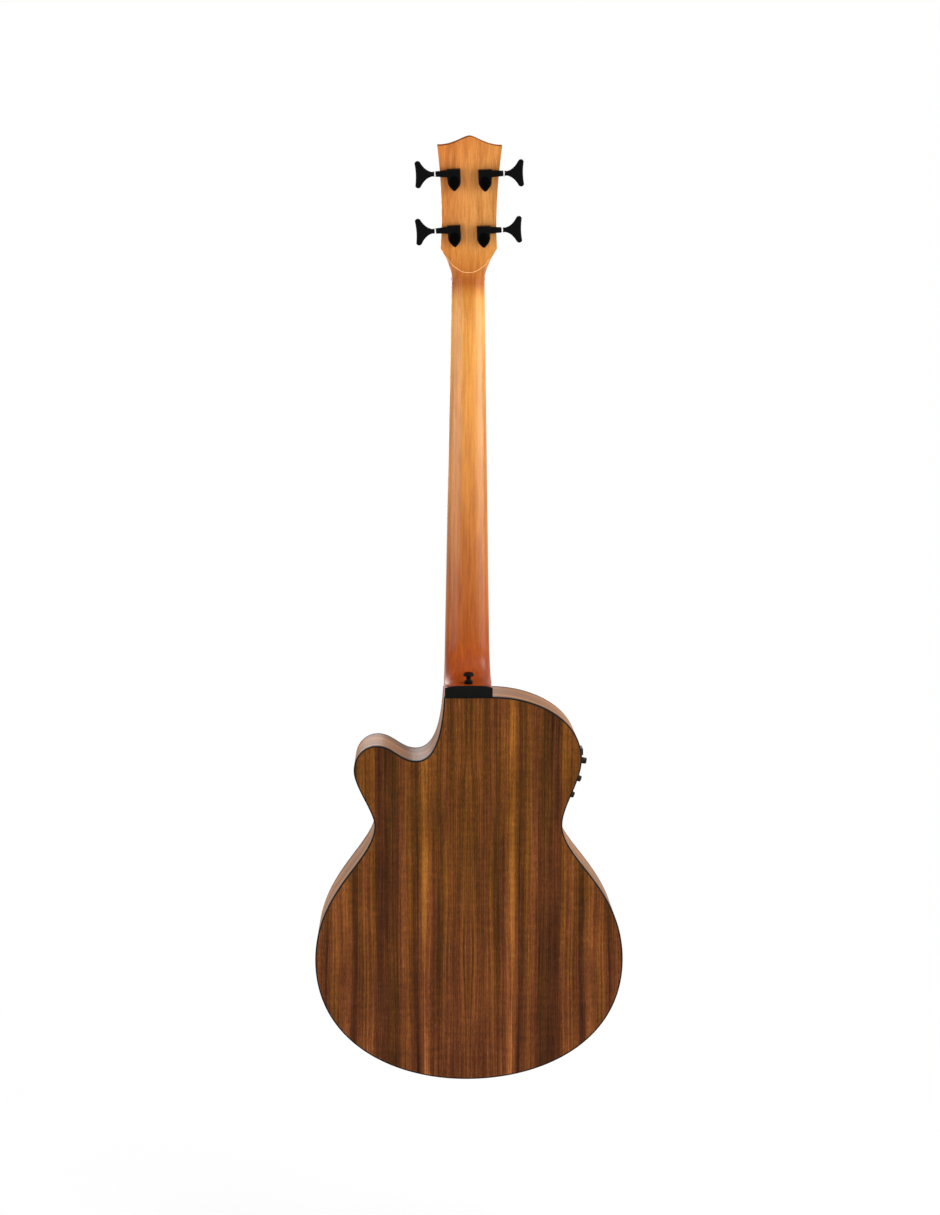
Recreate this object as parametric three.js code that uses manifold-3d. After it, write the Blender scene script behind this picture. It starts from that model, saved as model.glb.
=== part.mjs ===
// An acoustic bass guitar with a cutaway, four strings and a side preamp, in millimetres.
// The frame: +Z runs up the neck, +Y points out of the back, and +X is the cutaway (treble) side.
// The origin is on the centre line at the nut, in the plane of the soundboard's face.
import * as THREE from "three";
import { mergeVertices } from "three/addons/utils/BufferGeometryUtils.js";
import Module from "manifold-3d";

const wasm = await Module();
wasm.setup();

// Driving dimensions
const scaleLength = 864;
const fretCount = 20;
const glue = 0.3; // the thin space kept between pieces that are glued or screwed together
const nutHalfWidth = 21.5;
const neckTaper = 0.0171; // half width gained for each millimetre towards the body
const bodyTop = -536;
const tail = -1044.5;
const lowerBout = 201;
const lowerBoutBass = 204; // the bass side of the lower bout is a little fuller
const waist = 122.8;
const upperBout = 147.8;
const hornWidth = 149.6;
const depthAtNeck = 84;
const depthAtTail = 105;
const backRadius = 4570; // the back is arched across its width to this radius
const plate = 3; // thickness of the soundboard and of the back
const rib = 2.4; // thickness of a bent side
const bindingWidth = 2.2;
const bindingHeight = 5.5;
const liningWidth = 6;
const liningHeight = 13;
const soundholeRadius = 50;
const soundholeZ = -655;
const saddleZ = -867;
const headAngle = THREE.MathUtils.degToRad(13);
const headBack = 18.5; // how far the plane of the headstock's back is behind the origin, at the nut
const headThickness = 16.6;
const veneer = 1.6;
const boardThickness = 6.5;
const boardRadius = 400;

const fretZ = (n) => -scaleLength * (1 - 2 ** (-n / 12));
const halfWidthAt = (z) => nutHalfWidth - neckTaper * z;
const V3 = (x, y, z) => new THREE.Vector3(x, y, z);
const V2 = (x, z) => new THREE.Vector2(x, z);

// Materials
const finish = (color, roughness, metalness = 0) =>
  new THREE.MeshStandardMaterial({ color, roughness, metalness });
const mahogany = finish(0xc07a3e, 0.45);
const koa = finish(0x7a4f2a, 0.4);
const spruce = finish(0xd9b27c, 0.45);
const darkWood = finish(0x3a2418, 0.55);
const bracewood = finish(0xc9a26b, 0.8);
const blackPlastic = finish(0x121212, 0.45);
const blackMetal = finish(0x0c0c0d, 0.3, 0.7);
const whitePlastic = finish(0xe8e6df, 0.5);
const bone = finish(0xe6dcc3, 0.5);
const steel = finish(0xb9b4aa, 0.3, 1);
const bronze = finish(0xb08a56, 0.35, 1);

// Solids: a closed mesh becomes a manifold, turned right side out if need be.
function solid(geometry) {
  const bare = geometry.index ? geometry.clone() : geometry;
  bare.deleteAttribute("normal");
  bare.deleteAttribute("uv");
  const merged = mergeVertices(bare, 1e-4);
  const p = merged.attributes.position.array;
  const t = new Uint32Array(merged.index.array);
  let volume = 0;
  for (let i = 0; i < t.length; i += 3) {
    const [a, b, c] = [t[i] * 3, t[i + 1] * 3, t[i + 2] * 3];
    volume +=
      p[a] * (p[b + 1] * p[c + 2] - p[b + 2] * p[c + 1]) +
      p[a + 1] * (p[b + 2] * p[c] - p[b] * p[c + 2]) +
      p[a + 2] * (p[b] * p[c + 1] - p[b + 1] * p[c]);
  }
  if (volume < 0) for (let i = 0; i < t.length; i += 3) [t[i], t[i + 1]] = [t[i + 1], t[i]];
  return new wasm.Manifold(new wasm.Mesh({ numProp: 3, vertProperties: p, triVerts: t }));
}

function geometryOf(made) {
  const mesh = made.getMesh();
  return new THREE.BufferGeometry()
    .setAttribute("position", new THREE.BufferAttribute(Float32Array.from(mesh.vertProperties), 3))
    .setIndex(new THREE.BufferAttribute(Uint32Array.from(mesh.triVerts), 1));
}

function mesh(name, made, material) {
  const m = new THREE.Mesh(geometryOf(made), material);
  m.name = name;
  return m;
}

// A closed body through sections of equal point counts. A ring joins its last section to its first.
function loft(sections, { ring = false } = {}) {
  const n = sections[0].length;
  const positions = sections.flat().flatMap((p) => [p.x, p.y, p.z]);
  const index = [];
  const last = ring ? sections.length : sections.length - 1;
  for (let i = 0; i < last; i += 1) {
    const [a, b] = [i * n, ((i + 1) % sections.length) * n];
    for (let k = 0; k < n; k += 1) {
      const k1 = (k + 1) % n;
      index.push(a + k, b + k, b + k1, a + k, b + k1, a + k1);
    }
  }
  if (!ring) {
    const u = sections[0][1].clone().sub(sections[0][0]).normalize();
    [0, sections.length - 1].forEach((s) => {
      const points = sections[s];
      const normal = capNormal(points);
      const across = u.clone().addScaledVector(normal, -u.dot(normal)).normalize();
      const up = normal.clone().cross(across);
      const flat = points.map((p) => V2(p.dot(across), p.dot(up)));
      THREE.ShapeUtils.triangulateShape(flat, []).forEach(([a, b, c]) => {
        const o = s * n;
        index.push(...(s === 0 ? [o + a, o + b, o + c] : [o + c, o + b, o + a]));
      });
    });
  }
  return solid(new THREE.BufferGeometry().setAttribute("position", new THREE.Float32BufferAttribute(positions, 3)).setIndex(index));
}

function capNormal(points) {
  const normal = V3(0, 0, 0);
  points.forEach((p, i) => normal.add(p.clone().cross(points[(i + 1) % points.length])));
  return normal.normalize();
}

// A tube along points, with a radius at each point.
function tube(points, radii, sides) {
  const sections = [];
  let across = null;
  points.forEach((p, i) => {
    const tangent = points[Math.min(i + 1, points.length - 1)].clone().sub(points[Math.max(i - 1, 0)]).normalize();
    if (!across) across = Math.abs(tangent.x) < 0.9 ? V3(1, 0, 0) : V3(0, 1, 0);
    across = across.clone().addScaledVector(tangent, -across.dot(tangent)).normalize();
    const up = tangent.clone().cross(across);
    const r = Array.isArray(radii) ? radii[i] : radii;
    sections.push(
      Array.from({ length: sides }, (_, k) => {
        const a = (2 * Math.PI * k) / sides;
        return p.clone().addScaledVector(across, r * Math.cos(a)).addScaledVector(up, r * Math.sin(a));
      }),
    );
  });
  return loft(sections);
}

const move = (made, x, y, z) => made.translate([x, y, z]);
const box = (x0, x1, y0, y1, z0, z1) =>
  move(solid(new THREE.BoxGeometry(x1 - x0, y1 - y0, z1 - z0)), (x0 + x1) / 2, (y0 + y1) / 2, (z0 + z1) / 2);
// A turned piece about Y, from [radius, y] pairs.
const turned = (profile, segments) => solid(new THREE.LatheGeometry(profile.map(([r, y]) => V2(r, y)), segments));
// A round bar along X, Y or Z between two places on that axis.
function bar(axis, radius, from, to, segments, endRadius = radius) {
  const made = turned([[0, from], [radius, from], [endRadius, to], [0, to]], segments);
  if (axis === "x") return made.rotate([0, 0, -90]);
  return axis === "z" ? made.rotate([90, 0, 0]) : made;
}
// A flat shape drawn in X and Z, given thickness from y0 to y1.
function slab(shape, y0, y1, curveSegments, bevel = 0) {
  const geometry = new THREE.ExtrudeGeometry(shape, {
    depth: y1 - y0 - 2 * bevel,
    curveSegments,
    bevelEnabled: bevel > 0,
    bevelSegments: 1,
    bevelSize: bevel,
    bevelThickness: bevel,
    bevelOffset: -bevel,
  });
  return move(solid(geometry).rotate([90, 0, 0]), 0, y1 - bevel, 0);
}

// The body's outline, from the tail up the treble side, across the heel and down the bass side
function outlinePath() {
  const path = new THREE.Path();
  path.moveTo(0, tail);
  path.bezierCurveTo(104, tail, lowerBout, -991, lowerBout, -885);
  path.bezierCurveTo(lowerBout, -791, waist, -752, waist, -705);
  path.bezierCurveTo(waist, -687, hornWidth, -654, hornWidth, -633);
  path.bezierCurveTo(hornWidth, -614.5, 136.5, -600, 119.5, -600);
  path.bezierCurveTo(98.7, -600, 89.4, -619.7, 68.5, -619.7);
  path.bezierCurveTo(43, -619.7, 34.9, -584, 32, bodyTop);
  path.lineTo(12, bodyTop);
  path.lineTo(-12, bodyTop);
  path.lineTo(-31, bodyTop);
  path.bezierCurveTo(-87.8, bodyTop, -upperBout, -565.3, -upperBout, -619);
  path.bezierCurveTo(-upperBout, -648, -waist, -680.5, -waist, -705);
  path.bezierCurveTo(-waist, -752, -lowerBoutBass, -789, -lowerBoutBass, -887);
  path.bezierCurveTo(-lowerBoutBass, -993, -106, tail, 0, tail);
  return path;
}

function sampleOutline(detail) {
  const points = [];
  outlinePath().curves.forEach((curve) => {
    const steps = curve.isLineCurve ? 1 : Math.max(3, Math.round((curve.getLength() * detail) / 190));
    points.push(...curve.getPoints(steps).slice(0, -1));
  });
  return points;
}

// Points of the outline with the inward direction at each, scaled so that an offset keeps its width at a corner.
function rim(detail) {
  const points = sampleOutline(detail);
  return points.map((p, i) => {
    const before = p.clone().sub(points[(i + points.length - 1) % points.length]).normalize();
    const after = points[(i + 1) % points.length].clone().sub(p).normalize();
    const [n1, n2] = [V2(-before.y, before.x), V2(-after.y, after.x)];
    const inward = n1.clone().add(n2).divideScalar(1 + n1.dot(n2));
    return { p, at: (offset) => p.clone().addScaledVector(inward, offset) };
  });
}

// The outer surface of the back: tapered from neck to tail and arched across
const backAt = (x, z) =>
  depthAtNeck + ((depthAtTail - depthAtNeck) * (bodyTop - z)) / (bodyTop - tail) - (x * x) / (2 * backRadius);

const fineRim = rim(7.2);
const onRim = (point, offset, y) => {
  const q = point.at(offset);
  return V3(q.x, typeof y === "function" ? y(q) : y, q.y);
};
const fromBack = (inset) => (q) => backAt(q.x, q.y) - inset;

function soundboard() {
  const shape = new THREE.Shape(fineRim.map((s) => s.at(bindingWidth + glue)));
  const hole = new THREE.Path().absarc(0, soundholeZ, soundholeRadius, 0, 2 * Math.PI, true);
  shape.holes.push(hole);
  return slab(shape, 0, plate, 14);
}

// The back is a plate bent over its arch, in rings that shrink towards a point inside the outline.
function backPlate() {
  const centre = V2(0, -800);
  const shares = [1, 0.66, 0.33];
  const edge = fineRim.map((s) => s.at(bindingWidth + glue));
  const n = edge.length;
  const positions = [];
  [0, plate].forEach((inset) => {
    shares.forEach((share) => {
      edge.forEach((p) => {
        const q = centre.clone().lerp(p, share);
        positions.push(q.x, backAt(q.x, q.y) - inset, q.y);
      });
    });
    positions.push(centre.x, backAt(centre.x, centre.y) - inset, centre.y);
  });
  const index = [];
  const face = shares.length * n + 1;
  for (let k = 0; k < n; k += 1) {
    const k1 = (k + 1) % n;
    [0, face].forEach((base, side) => {
      const push = (a, b, c) => index.push(...(side ? [a, c, b] : [a, b, c]));
      for (let s = 0; s < shares.length - 1; s += 1) {
        const [o, i] = [base + s * n, base + (s + 1) * n];
        push(o + k, i + k, i + k1);
        push(o + k, i + k1, o + k1);
      }
      const inner = base + (shares.length - 1) * n;
      push(inner + k, base + shares.length * n, inner + k1);
    });
    index.push(k, k1, face + k1, k, face + k1, face + k);
  }
  return solid(new THREE.BufferGeometry().setAttribute("position", new THREE.Float32BufferAttribute(positions, 3)).setIndex(index));
}

// A bent side with the lining strips that carry the soundboard and the back, between two places on the rim
function side(from, to) {
  const run = [];
  for (let i = from; i <= to; i += 1) run.push(fineRim[i % fineRim.length]);
  const front = bindingHeight + glue;
  const inner = rib + liningWidth;
  const corners = [
    [0, front], [bindingWidth + glue, front], [bindingWidth + glue, plate + glue], [inner, plate + glue],
    [inner, plate + 5], [rib, plate + liningHeight],
  ];
  const sections = run.map((s) => [
    ...corners.map(([offset, y]) => onRim(s, offset, y)),
    ...corners.toReversed().map(([offset, y]) => onRim(s, offset, fromBack(y))),
  ]);
  return loft(sections);
}

const rimIndex = (test) => fineRim.findIndex((s) => test(s.p));
const mortiseTreble = rimIndex((p) => p.x === 12 && p.y === bodyTop);
const mortiseBass = rimIndex((p) => p.x === -12 && p.y === bodyTop);

function binding(yOuter, yInner) {
  return loft(
    fineRim.map((s) => [onRim(s, 0, yOuter), onRim(s, bindingWidth, yOuter), onRim(s, bindingWidth, yInner), onRim(s, 0, yInner)]),
    { ring: true },
  );
}

// Blocks, braces and the plate under the bridge
const mortiseHalf = 11.3;
const tenonDepth = 15;
const blockFace = bodyTop - rib - glue;
function neckBlock() {
  const treble = 32 - rib - glue - 1.2;
  const block = box(-31.5, treble, plate + glue, backAt(32, blockFace) - plate - glue, blockFace - 50, blockFace);
  const lining = rib + liningWidth + glue;
  const notch = (y0, y1) => box(-50, 40, y0, y1, bodyTop - lining, bodyTop + 1);
  const back = backAt(0, bodyTop - 30);
  return block
    .subtract(notch(0, plate + liningHeight + glue))
    .subtract(notch(back - plate - liningHeight - 2, back))
    .subtract(box(treble - liningWidth - glue, 40, 0, plate + liningHeight + glue, bodyTop - 70, bodyTop))
    .subtract(box(treble - liningWidth - glue, 40, back - plate - liningHeight - 2, back + 9, bodyTop - 70, bodyTop))
    .subtract(box(-mortiseHalf, mortiseHalf, 9, 71, bodyTop - tenonDepth - glue, bodyTop + 1));
}

function tailBlock() {
  const inset = rib + liningWidth + glue;
  const shape = new THREE.Shape([V2(-38, -1012), V2(38, -1012), V2(38, tail + inset + 4), V2(0, tail + inset + 0.4), V2(-38, tail + inset + 4)]);
  return slab(shape, plate + glue, backAt(38, -1012) - plate - glue, 1).subtract(endpinBore(6.5));
}

const endpinY = 50;
const endpinBore = (radius) => move(bar("z", radius, 1000, 1060, 14).scale([1, 1, -1]), 0, endpinY, 0).rotate([0, 0, 0]);

// A wooden brace on the inside of a plate between two points, tall in the middle and low at its ends
function brace(a, b, width, height, surface) {
  const along = b.clone().sub(a).normalize();
  const across = V2(-along.y, along.x).multiplyScalar(width / 2);
  const steps = 6;
  const sections = [];
  for (let i = 0; i <= steps; i += 1) {
    const t = i / steps;
    const q = a.clone().lerp(b, t);
    const tall = 3.5 + (height - 3.5) * Math.sin(Math.PI * t) ** 0.6;
    const [l, r] = [q.clone().add(across), q.clone().sub(across)];
    const base = surface(q);
    const top = base + Math.sign(surface.into) * tall;
    sections.push([V3(l.x, base, l.y), V3(r.x, base, r.y), V3(r.x, top, r.y), V3(l.x, top, l.y)]);
  }
  return loft(sections);
}
const underTop = Object.assign(() => plate + glue, { into: 1 });
const underBack = Object.assign((q) => backAt(q.x, q.y) - plate - 2 * glue, { into: -1 });

function topBracing() {
  const crossing = V2(0, -748);
  const leg = (sign) => {
    const slope = V2(sign * 0.651, -0.759);
    return brace(crossing.clone().addScaledVector(slope, -157), crossing.clone().addScaledVector(slope, 215), 8, 13, underTop);
  };
  const transverse = brace(V2(-118, -641), V2(112, -641), 9, 11, underTop);
  const clearOfHole = move(bar("y", soundholeRadius + 5, 0, 30, 20), 0, 0, soundholeZ);
  const upper = brace(V2(-112, -596), V2(22, -596), 8, 12, underTop);
  const links = brace(V2(-100, -644), V2(-100, -593), 8, 8, underTop);
  const toneBar = brace(V2(-120, -890), V2(70, -955), 7, 10, underTop);
  return leg(1).add(leg(-1)).add(transverse.subtract(clearOfHole)).add(upper).add(links).add(toneBar);
}

const backBraceZ = [-655, -740, -845, -950];
function backBrace(z) {
  const inner = rib + liningWidth + glue + 0.5;
  const reach = (sign) => {
    const crossings = fineRim
      .map((s, i) => [s.at(inner), fineRim[(i + 1) % fineRim.length].at(inner)])
      .filter(([a, b]) => (a.y - z) * (b.y - z) <= 0 && a.x * sign > 0)
      .map(([a, b]) => a.x + ((b.x - a.x) * (z - a.y)) / (b.y - a.y || 1));
    return sign * Math.min(...crossings.map(Math.abs)) - sign * 3;
  };
  return brace(V2(reach(-1), z), V2(reach(1), z), 8, 13, underBack);
}

// The neck: a shaft of C section that swells behind the nut, a coved heel and the tilted headstock
const coveTop = -470;
const coveLength = 51.5;
const shaftDepth = (z) => 15.6 + (2.2 * (-30 - z)) / 440;
const heelDepth = depthAtNeck - 3 - glue;
const neckStations = (() => {
  const list = [];
  const steps = 7;
  list.push([bodyTop + glue, 31.2, heelDepth, 7]);
  for (let i = steps; i >= 1; i -= 1) {
    const a = (i / steps) * (Math.PI / 2);
    const share = i / steps;
    const z = coveTop - coveLength * Math.sin(a);
    const flare = 0.5 * share;
    list.push([z, halfWidthAt(z) + flare, shaftDepth(coveTop) + (heelDepth - shaftDepth(coveTop)) * (1 - Math.cos(a)), 2.3 + 4.7 * share]);
  }
  [coveTop, -330, -180, -30].forEach((z) => list.push([z, halfWidthAt(z), shaftDepth(z), 2.3]));
  // Behind the nut the section deepens and squares up, so that the headstock's flat back cuts it in a U.
  list.push([-12, 21.7, 15.8, 2.3], [-4, 21.6, 16.5, 2.4], [1, 21.5, 17.2, 2.5], [5, 21.7, 18.6, 2.6]);
  return list;
})();
const flareStations = [
  [5, 21.7, 18.6, 2.6], [9.2, 22.5, 20.6, 2.8], [13.9, 24, 23.5, 3], [19.8, 26.2, 26.9, 4.2], [25, 28.3, 30.4, 4.6],
  [30.6, 31.3, 36, 7], [36, 34.3, 40, 10], [39.5, 36.4, 44, 14], [46, 40.5, 48, 14],
];
const sectionPoints = 12;
function neckSection([z, half, depth, squareness]) {
  return Array.from({ length: sectionPoints + 1 }, (_, k) => {
    const a = (Math.PI * k) / sectionPoints;
    const bend = (v) => Math.sign(v) * Math.abs(v) ** (2 / squareness);
    const x = k === 0 ? 1 : k === sectionPoints ? -1 : bend(Math.cos(a));
    const y = k === 0 || k === sectionPoints ? 0 : bend(Math.sin(a));
    return V3(half * x, depth * y, z);
  });
}

function headShape(bottom, inset = 0) {
  const shape = new THREE.Shape();
  const corner = 36.4 - inset;
  shape.moveTo(corner, bottom);
  shape.lineTo(corner, 40.5);
  shape.quadraticCurveTo(32.1 - inset, 95, 41 - inset, 169 - inset);
  shape.bezierCurveTo(21, 168.4 - inset, 7.5, 180.3 - inset, 0, 180.3 - inset);
  shape.bezierCurveTo(-7.5, 180.3 - inset, -21, 168.4 - inset, -41 + inset, 169 - inset);
  shape.quadraticCurveTo(-32.1 + inset, 95, -corner, 40.5);
  shape.lineTo(-corner, bottom);
  return shape;
}

// The headstock's own frame: y is measured from its back face, and z along it from the nut.
const intoHead = (made) => made.rotate([THREE.MathUtils.radToDeg(-headAngle), 0, 0]).translate([0, headBack, 0]);
const headPoint = (x, y, z) => V3(x, y, z).applyAxisAngle(V3(1, 0, 0), -headAngle).add(V3(0, headBack, 0));

const posts = [
  { id: "e", x: -18.6, z: 55.8, gauge: 2.67, mirror: -1, skew: 2.2, nutX: -17, saddleX: -28.5 },
  { id: "a", x: -19.6, z: 126.6, gauge: 2.16, mirror: -1, skew: 2.2, nutX: -5.7, saddleX: -9.5 },
  { id: "d", x: 19.6, z: 127, gauge: 1.65, mirror: 1, skew: 2.2, nutX: 5.7, saddleX: 9.5 },
  { id: "g", x: 18.6, z: 56.4, gauge: 1.14, mirror: 1, skew: 3.8, nutX: 17, saddleX: 28.5 },
];
const postHoles = (radius) =>
  posts.map((p) => move(bar("y", radius, -30, 5, 14), p.x, 0, p.z)).reduce((a, b) => a.add(b));

const rodRadius = 2.6;
const rodY = 7;
function neck() {
  const shaft = loft(neckStations.map(neckSection));
  const flare = loft(flareStations.map(neckSection)).add(box(-60, 60, -40, 90, 45, 230));
  const head = intoHead(slab(headShape(-20), -headThickness, 0, 8).subtract(postHoles(5.6)));
  const tenon = box(-mortiseHalf + glue, mortiseHalf - glue, 9 + glue, 71 - glue, bodyTop - tenonDepth, bodyTop + 2);
  const channel = box(-3, 3, -1, rodY + 3, -505, 9);
  const pocket = intoHead(box(-6.5, 6.5, -30, -headThickness + 8, 3, 34));
  return shaft.add(head.intersect(flare)).add(tenon).subtract(channel).subtract(pocket);
}

// The steel rod in its channel under the fingerboard, with a hexagonal nut in the headstock's pocket
function trussRod() {
  const rod = move(bar("z", rodRadius, -500, 8, 10), 0, -rodY, 0);
  const nut = move(bar("z", 3.4, 7.5, 14, 6), 0, -rodY, 0);
  return rod.add(nut).scale([1, -1, 1]);
}

function trussRodCover() {
  const shape = new THREE.Shape();
  shape.moveTo(9.5, 2.2);
  shape.lineTo(9.5, 24);
  shape.quadraticCurveTo(9.5, 34, 0, 40);
  shape.quadraticCurveTo(-9.5, 34, -9.5, 24);
  shape.lineTo(-9.5, 2.2);
  return intoHead(slab(shape, -headThickness - 2 * glue - veneer - 2, -headThickness - 2 * glue - veneer, 4, 0.5));
}

function headplate() {
  const shape = headShape(1.8, 0.05);
  const sheet = slab(shape, -headThickness - glue - veneer, -headThickness - glue, 8);
  const flare = loft(flareStations.map(([z, half, d, n]) => neckSection([z, half - 0.05, d + 20, n])).map((s) => s.map((p) => V3(p.x, p.y - 20, p.z))));
  const keep = flare.add(box(-60, 60, -60, 90, 45, 230)).add(box(-21.6, 21.6, -20, 20, 4, 6));
  return intoHead(sheet.subtract(postHoles(5.6)).subtract(box(-6.5, 6.5, -30, 0, -2, 34))).intersect(keep);
}

// The fingerboard with its frets, each a low crown across the board
function fingerboard() {
  const crown = 1.1;
  const fretHalf = 1.1;
  const end = fretZ(fretCount) - 6.5;
  const stations = [[-glue, 0]];
  for (let n = 1; n <= fretCount; n += 1) {
    const z = fretZ(n);
    stations.push([z + fretHalf, 0], [z + 0.5, crown], [z - 0.5, crown], [z - fretHalf, 0]);
  }
  stations.push([end, 0]);
  return loft(
    stations.map(([z, raised]) => {
      const half = halfWidthAt(z);
      const top = (share) => V3(half * share, -boardThickness + (half * share) ** 2 / (2 * boardRadius) - raised, z);
      return [V3(half, 0, z), top(1), top(0), top(-1), V3(-half, 0, z)];
    }),
  );
}

const nutStringY = (p) => -8 - p.gauge / 2;
const saddleStringY = (p) => -12.65 - p.gauge / 2;
const nutLeave = 4.8; // where a string bends down behind the nut
function nut() {
  const profile = new THREE.Shape([V2(-21.9, 0), V2(21.9, 0), V2(21.9, 8.6), V2(0, 9.8), V2(-21.9, 8.6)]);
  const block = solid(new THREE.ExtrudeGeometry(profile, { depth: 4.6, bevelEnabled: false }));
  return posts.reduce(
    (made, p) => made.subtract(box(p.nutX - p.gauge / 2 - glue, p.nutX + p.gauge / 2 + glue, -20, nutStringY(p) + p.gauge / 2 + glue, -1, 6)),
    block.scale([1, -1, 1]).translate([0, 0, 0.1]),
  );
}

function heelCap() {
  const shape = new THREE.Shape();
  shape.moveTo(-31, bodyTop + glue);
  shape.lineTo(31, bodyTop + glue);
  shape.lineTo(31, coveTop - coveLength - 3);
  shape.quadraticCurveTo(29, coveTop - coveLength - 1, 18, coveTop - coveLength - 0.3);
  shape.quadraticCurveTo(0, coveTop - coveLength + 0.5, -18, coveTop - coveLength - 0.3);
  shape.quadraticCurveTo(-29, coveTop - coveLength - 1, -31, coveTop - coveLength - 3);
  return slab(shape, depthAtNeck - 3, depthAtNeck, 4, 0.4);
}

// The strap button: a waisted knob whose base sits on the heel's cove
const buttonTilt = 10;
function strapButton() {
  const made = turned([[0, 0], [5.8, 0], [5.8, 1.6], [3, 4.2], [2.8, 7], [4.2, 9], [7.1, 10], [7.1, 11.6], [5.8, 12.8], [0, 12.8]], 14);
  return made.rotate([90 - buttonTilt, 0, 0]).translate([0, 68, coveTop - coveLength + 2]);
}

function endpinJack() {
  const end = 1058;
  const profile = [
    [3.3, end], [8.2, end], [8.6, end - 1], [8.6, end - 2.2], [5.6, end - 4], [5.4, 1048.6], [8.2, 1047.4], [8.2, 1044.9],
    [6.1, 1044.9], [6.1, 1011.6], [8.4, 1011.6], [8.4, 1008], [6, 1008], [6, 1004], [3.3, 1004],
  ];
  profile.push([3.3, end]);
  return turned(profile.map(([r, z]) => [r, -z]), 14).rotate([90, 0, 0]).translate([0, endpinY, 0]);
}

// The bridge: thin wings, a tie block with a hole for each string, and the ridge that holds the saddle
const bridgeFront = saddleZ + 8;
const bridgeBack = saddleZ - 27;
function bridge() {
  const plan = new THREE.Shape();
  plan.moveTo(-88, saddleZ - 2);
  plan.quadraticCurveTo(-88, bridgeFront, -78, bridgeFront);
  plan.lineTo(78, bridgeFront);
  plan.quadraticCurveTo(88, bridgeFront, 88, saddleZ - 2);
  plan.lineTo(88, saddleZ - 16);
  plan.quadraticCurveTo(88, bridgeBack + 2, 74, bridgeBack + 2);
  plan.quadraticCurveTo(0, bridgeBack - 4, -74, bridgeBack + 2);
  plan.quadraticCurveTo(-88, bridgeBack + 2, -88, saddleZ - 16);
  const front = new THREE.Shape([V2(-90, 0), V2(90, 0), V2(90, 3), V2(60, 4), V2(46, 8.6), V2(-46, 8.6), V2(-60, 4), V2(-90, 3)]);
  const across = solid(new THREE.ExtrudeGeometry(front, { depth: 60, bevelEnabled: false })).scale([1, -1, 1]).translate([0, 0, bridgeBack - 15]);
  let made = slab(plan, -10, 0, 4).intersect(across);
  made = made.subtract(box(-42, 42, -20, -3.4, saddleZ - 14.5, saddleZ - 5.5));
  made = made.subtract(box(-40.4, 40.4, -20, -4.2, saddleZ - 1.8, saddleZ + 1.8));
  posts.forEach((p) => {
    made = made.subtract(move(bar("z", p.gauge / 2 + 0.4, bridgeBack - 8, saddleZ - 10, 8), p.saddleX, -5.2, 0));
  });
  return made;
}

function saddle() {
  const crown = [[-1.5, 2], [-0.6, 0.4], [0.2, 0], [1, 0.1], [1.5, 1]]; // along the strings, and below the top
  return loft(
    [[-40, 11.2], [-28.5, 12.25], [28.5, 12.25], [40, 11.2]].map(([x, top]) => [
      V3(x, -4.5, saddleZ + 1.5),
      V3(x, -4.5, saddleZ - 1.5),
      ...crown.map(([z, drop]) => V3(x, drop - top, saddleZ + z)),
    ]),
  );
}

// A string runs from its ball end through the tie block, over saddle and nut, and once round its post.
const spoolRadius = 4.5;
const wrapPitch = (p) => p.gauge + 0.5;
const wrapRadius = (p) => spoolRadius + glue + p.gauge / 2;
const firstWrapY = (p) => -23 - p.gauge / 2;
function postTangent(p) {
  const from = V3(p.nutX * p.mirror, nutStringY(p) - headBack, nutLeave).applyAxisAngle(V3(1, 0, 0), headAngle);
  const reach = V2(from.x - p.x * p.mirror, from.z - p.z);
  return Math.atan2(reach.y, reach.x) - Math.acos(wrapRadius(p) / reach.length());
}
const aroundPost = (p, radius, angle, y) =>
  V3(p.mirror * (p.x * p.mirror + radius * Math.cos(angle)), y, p.z + radius * Math.sin(angle));

function stringRun(p) {
  const r = p.gauge / 2;
  const ball = 2.7;
  const tie = -5.2;
  const x = p.saddleX;
  const [saddleY, nutY] = [saddleStringY(p), nutStringY(p)];
  const onRun = (share) => V3(x, saddleY + 0.01, saddleZ + 3).lerp(V3(p.nutX, nutY, -1), share);
  const points = [
    V3(x, tie, bridgeBack - 9.4), V3(x, tie, bridgeBack - 9.1), V3(x, tie, bridgeBack - 4.4), V3(x, tie, bridgeBack - 4.1),
    V3(x, tie, saddleZ - 13), V3(x, tie - 1.6, saddleZ - 10.6), V3(x, saddleY + 1.3, saddleZ - 2.8),
    V3(x, saddleY, saddleZ - 0.6), V3(x, saddleY + 0.01, saddleZ + 3),
    onRun(0.32), onRun(0.68), V3(p.nutX, nutY, -1), V3(p.nutX, nutY, nutLeave),
  ];
  const radii = [ball * 0.6, ball, ball, r, ...Array(9).fill(r)];
  const start = postTangent(p);
  const steps = 22; // of 24 in a full turn, so that the end stops short of the incoming run
  for (let i = 0; i <= steps; i += 1) {
    const q = aroundPost(p, wrapRadius(p), start - (i / 24) * 2 * Math.PI, firstWrapY(p));
    points.push(headPoint(q.x, q.y, q.z));
    radii.push(r);
  }
  return tube(points, radii, 6);
}

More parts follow.
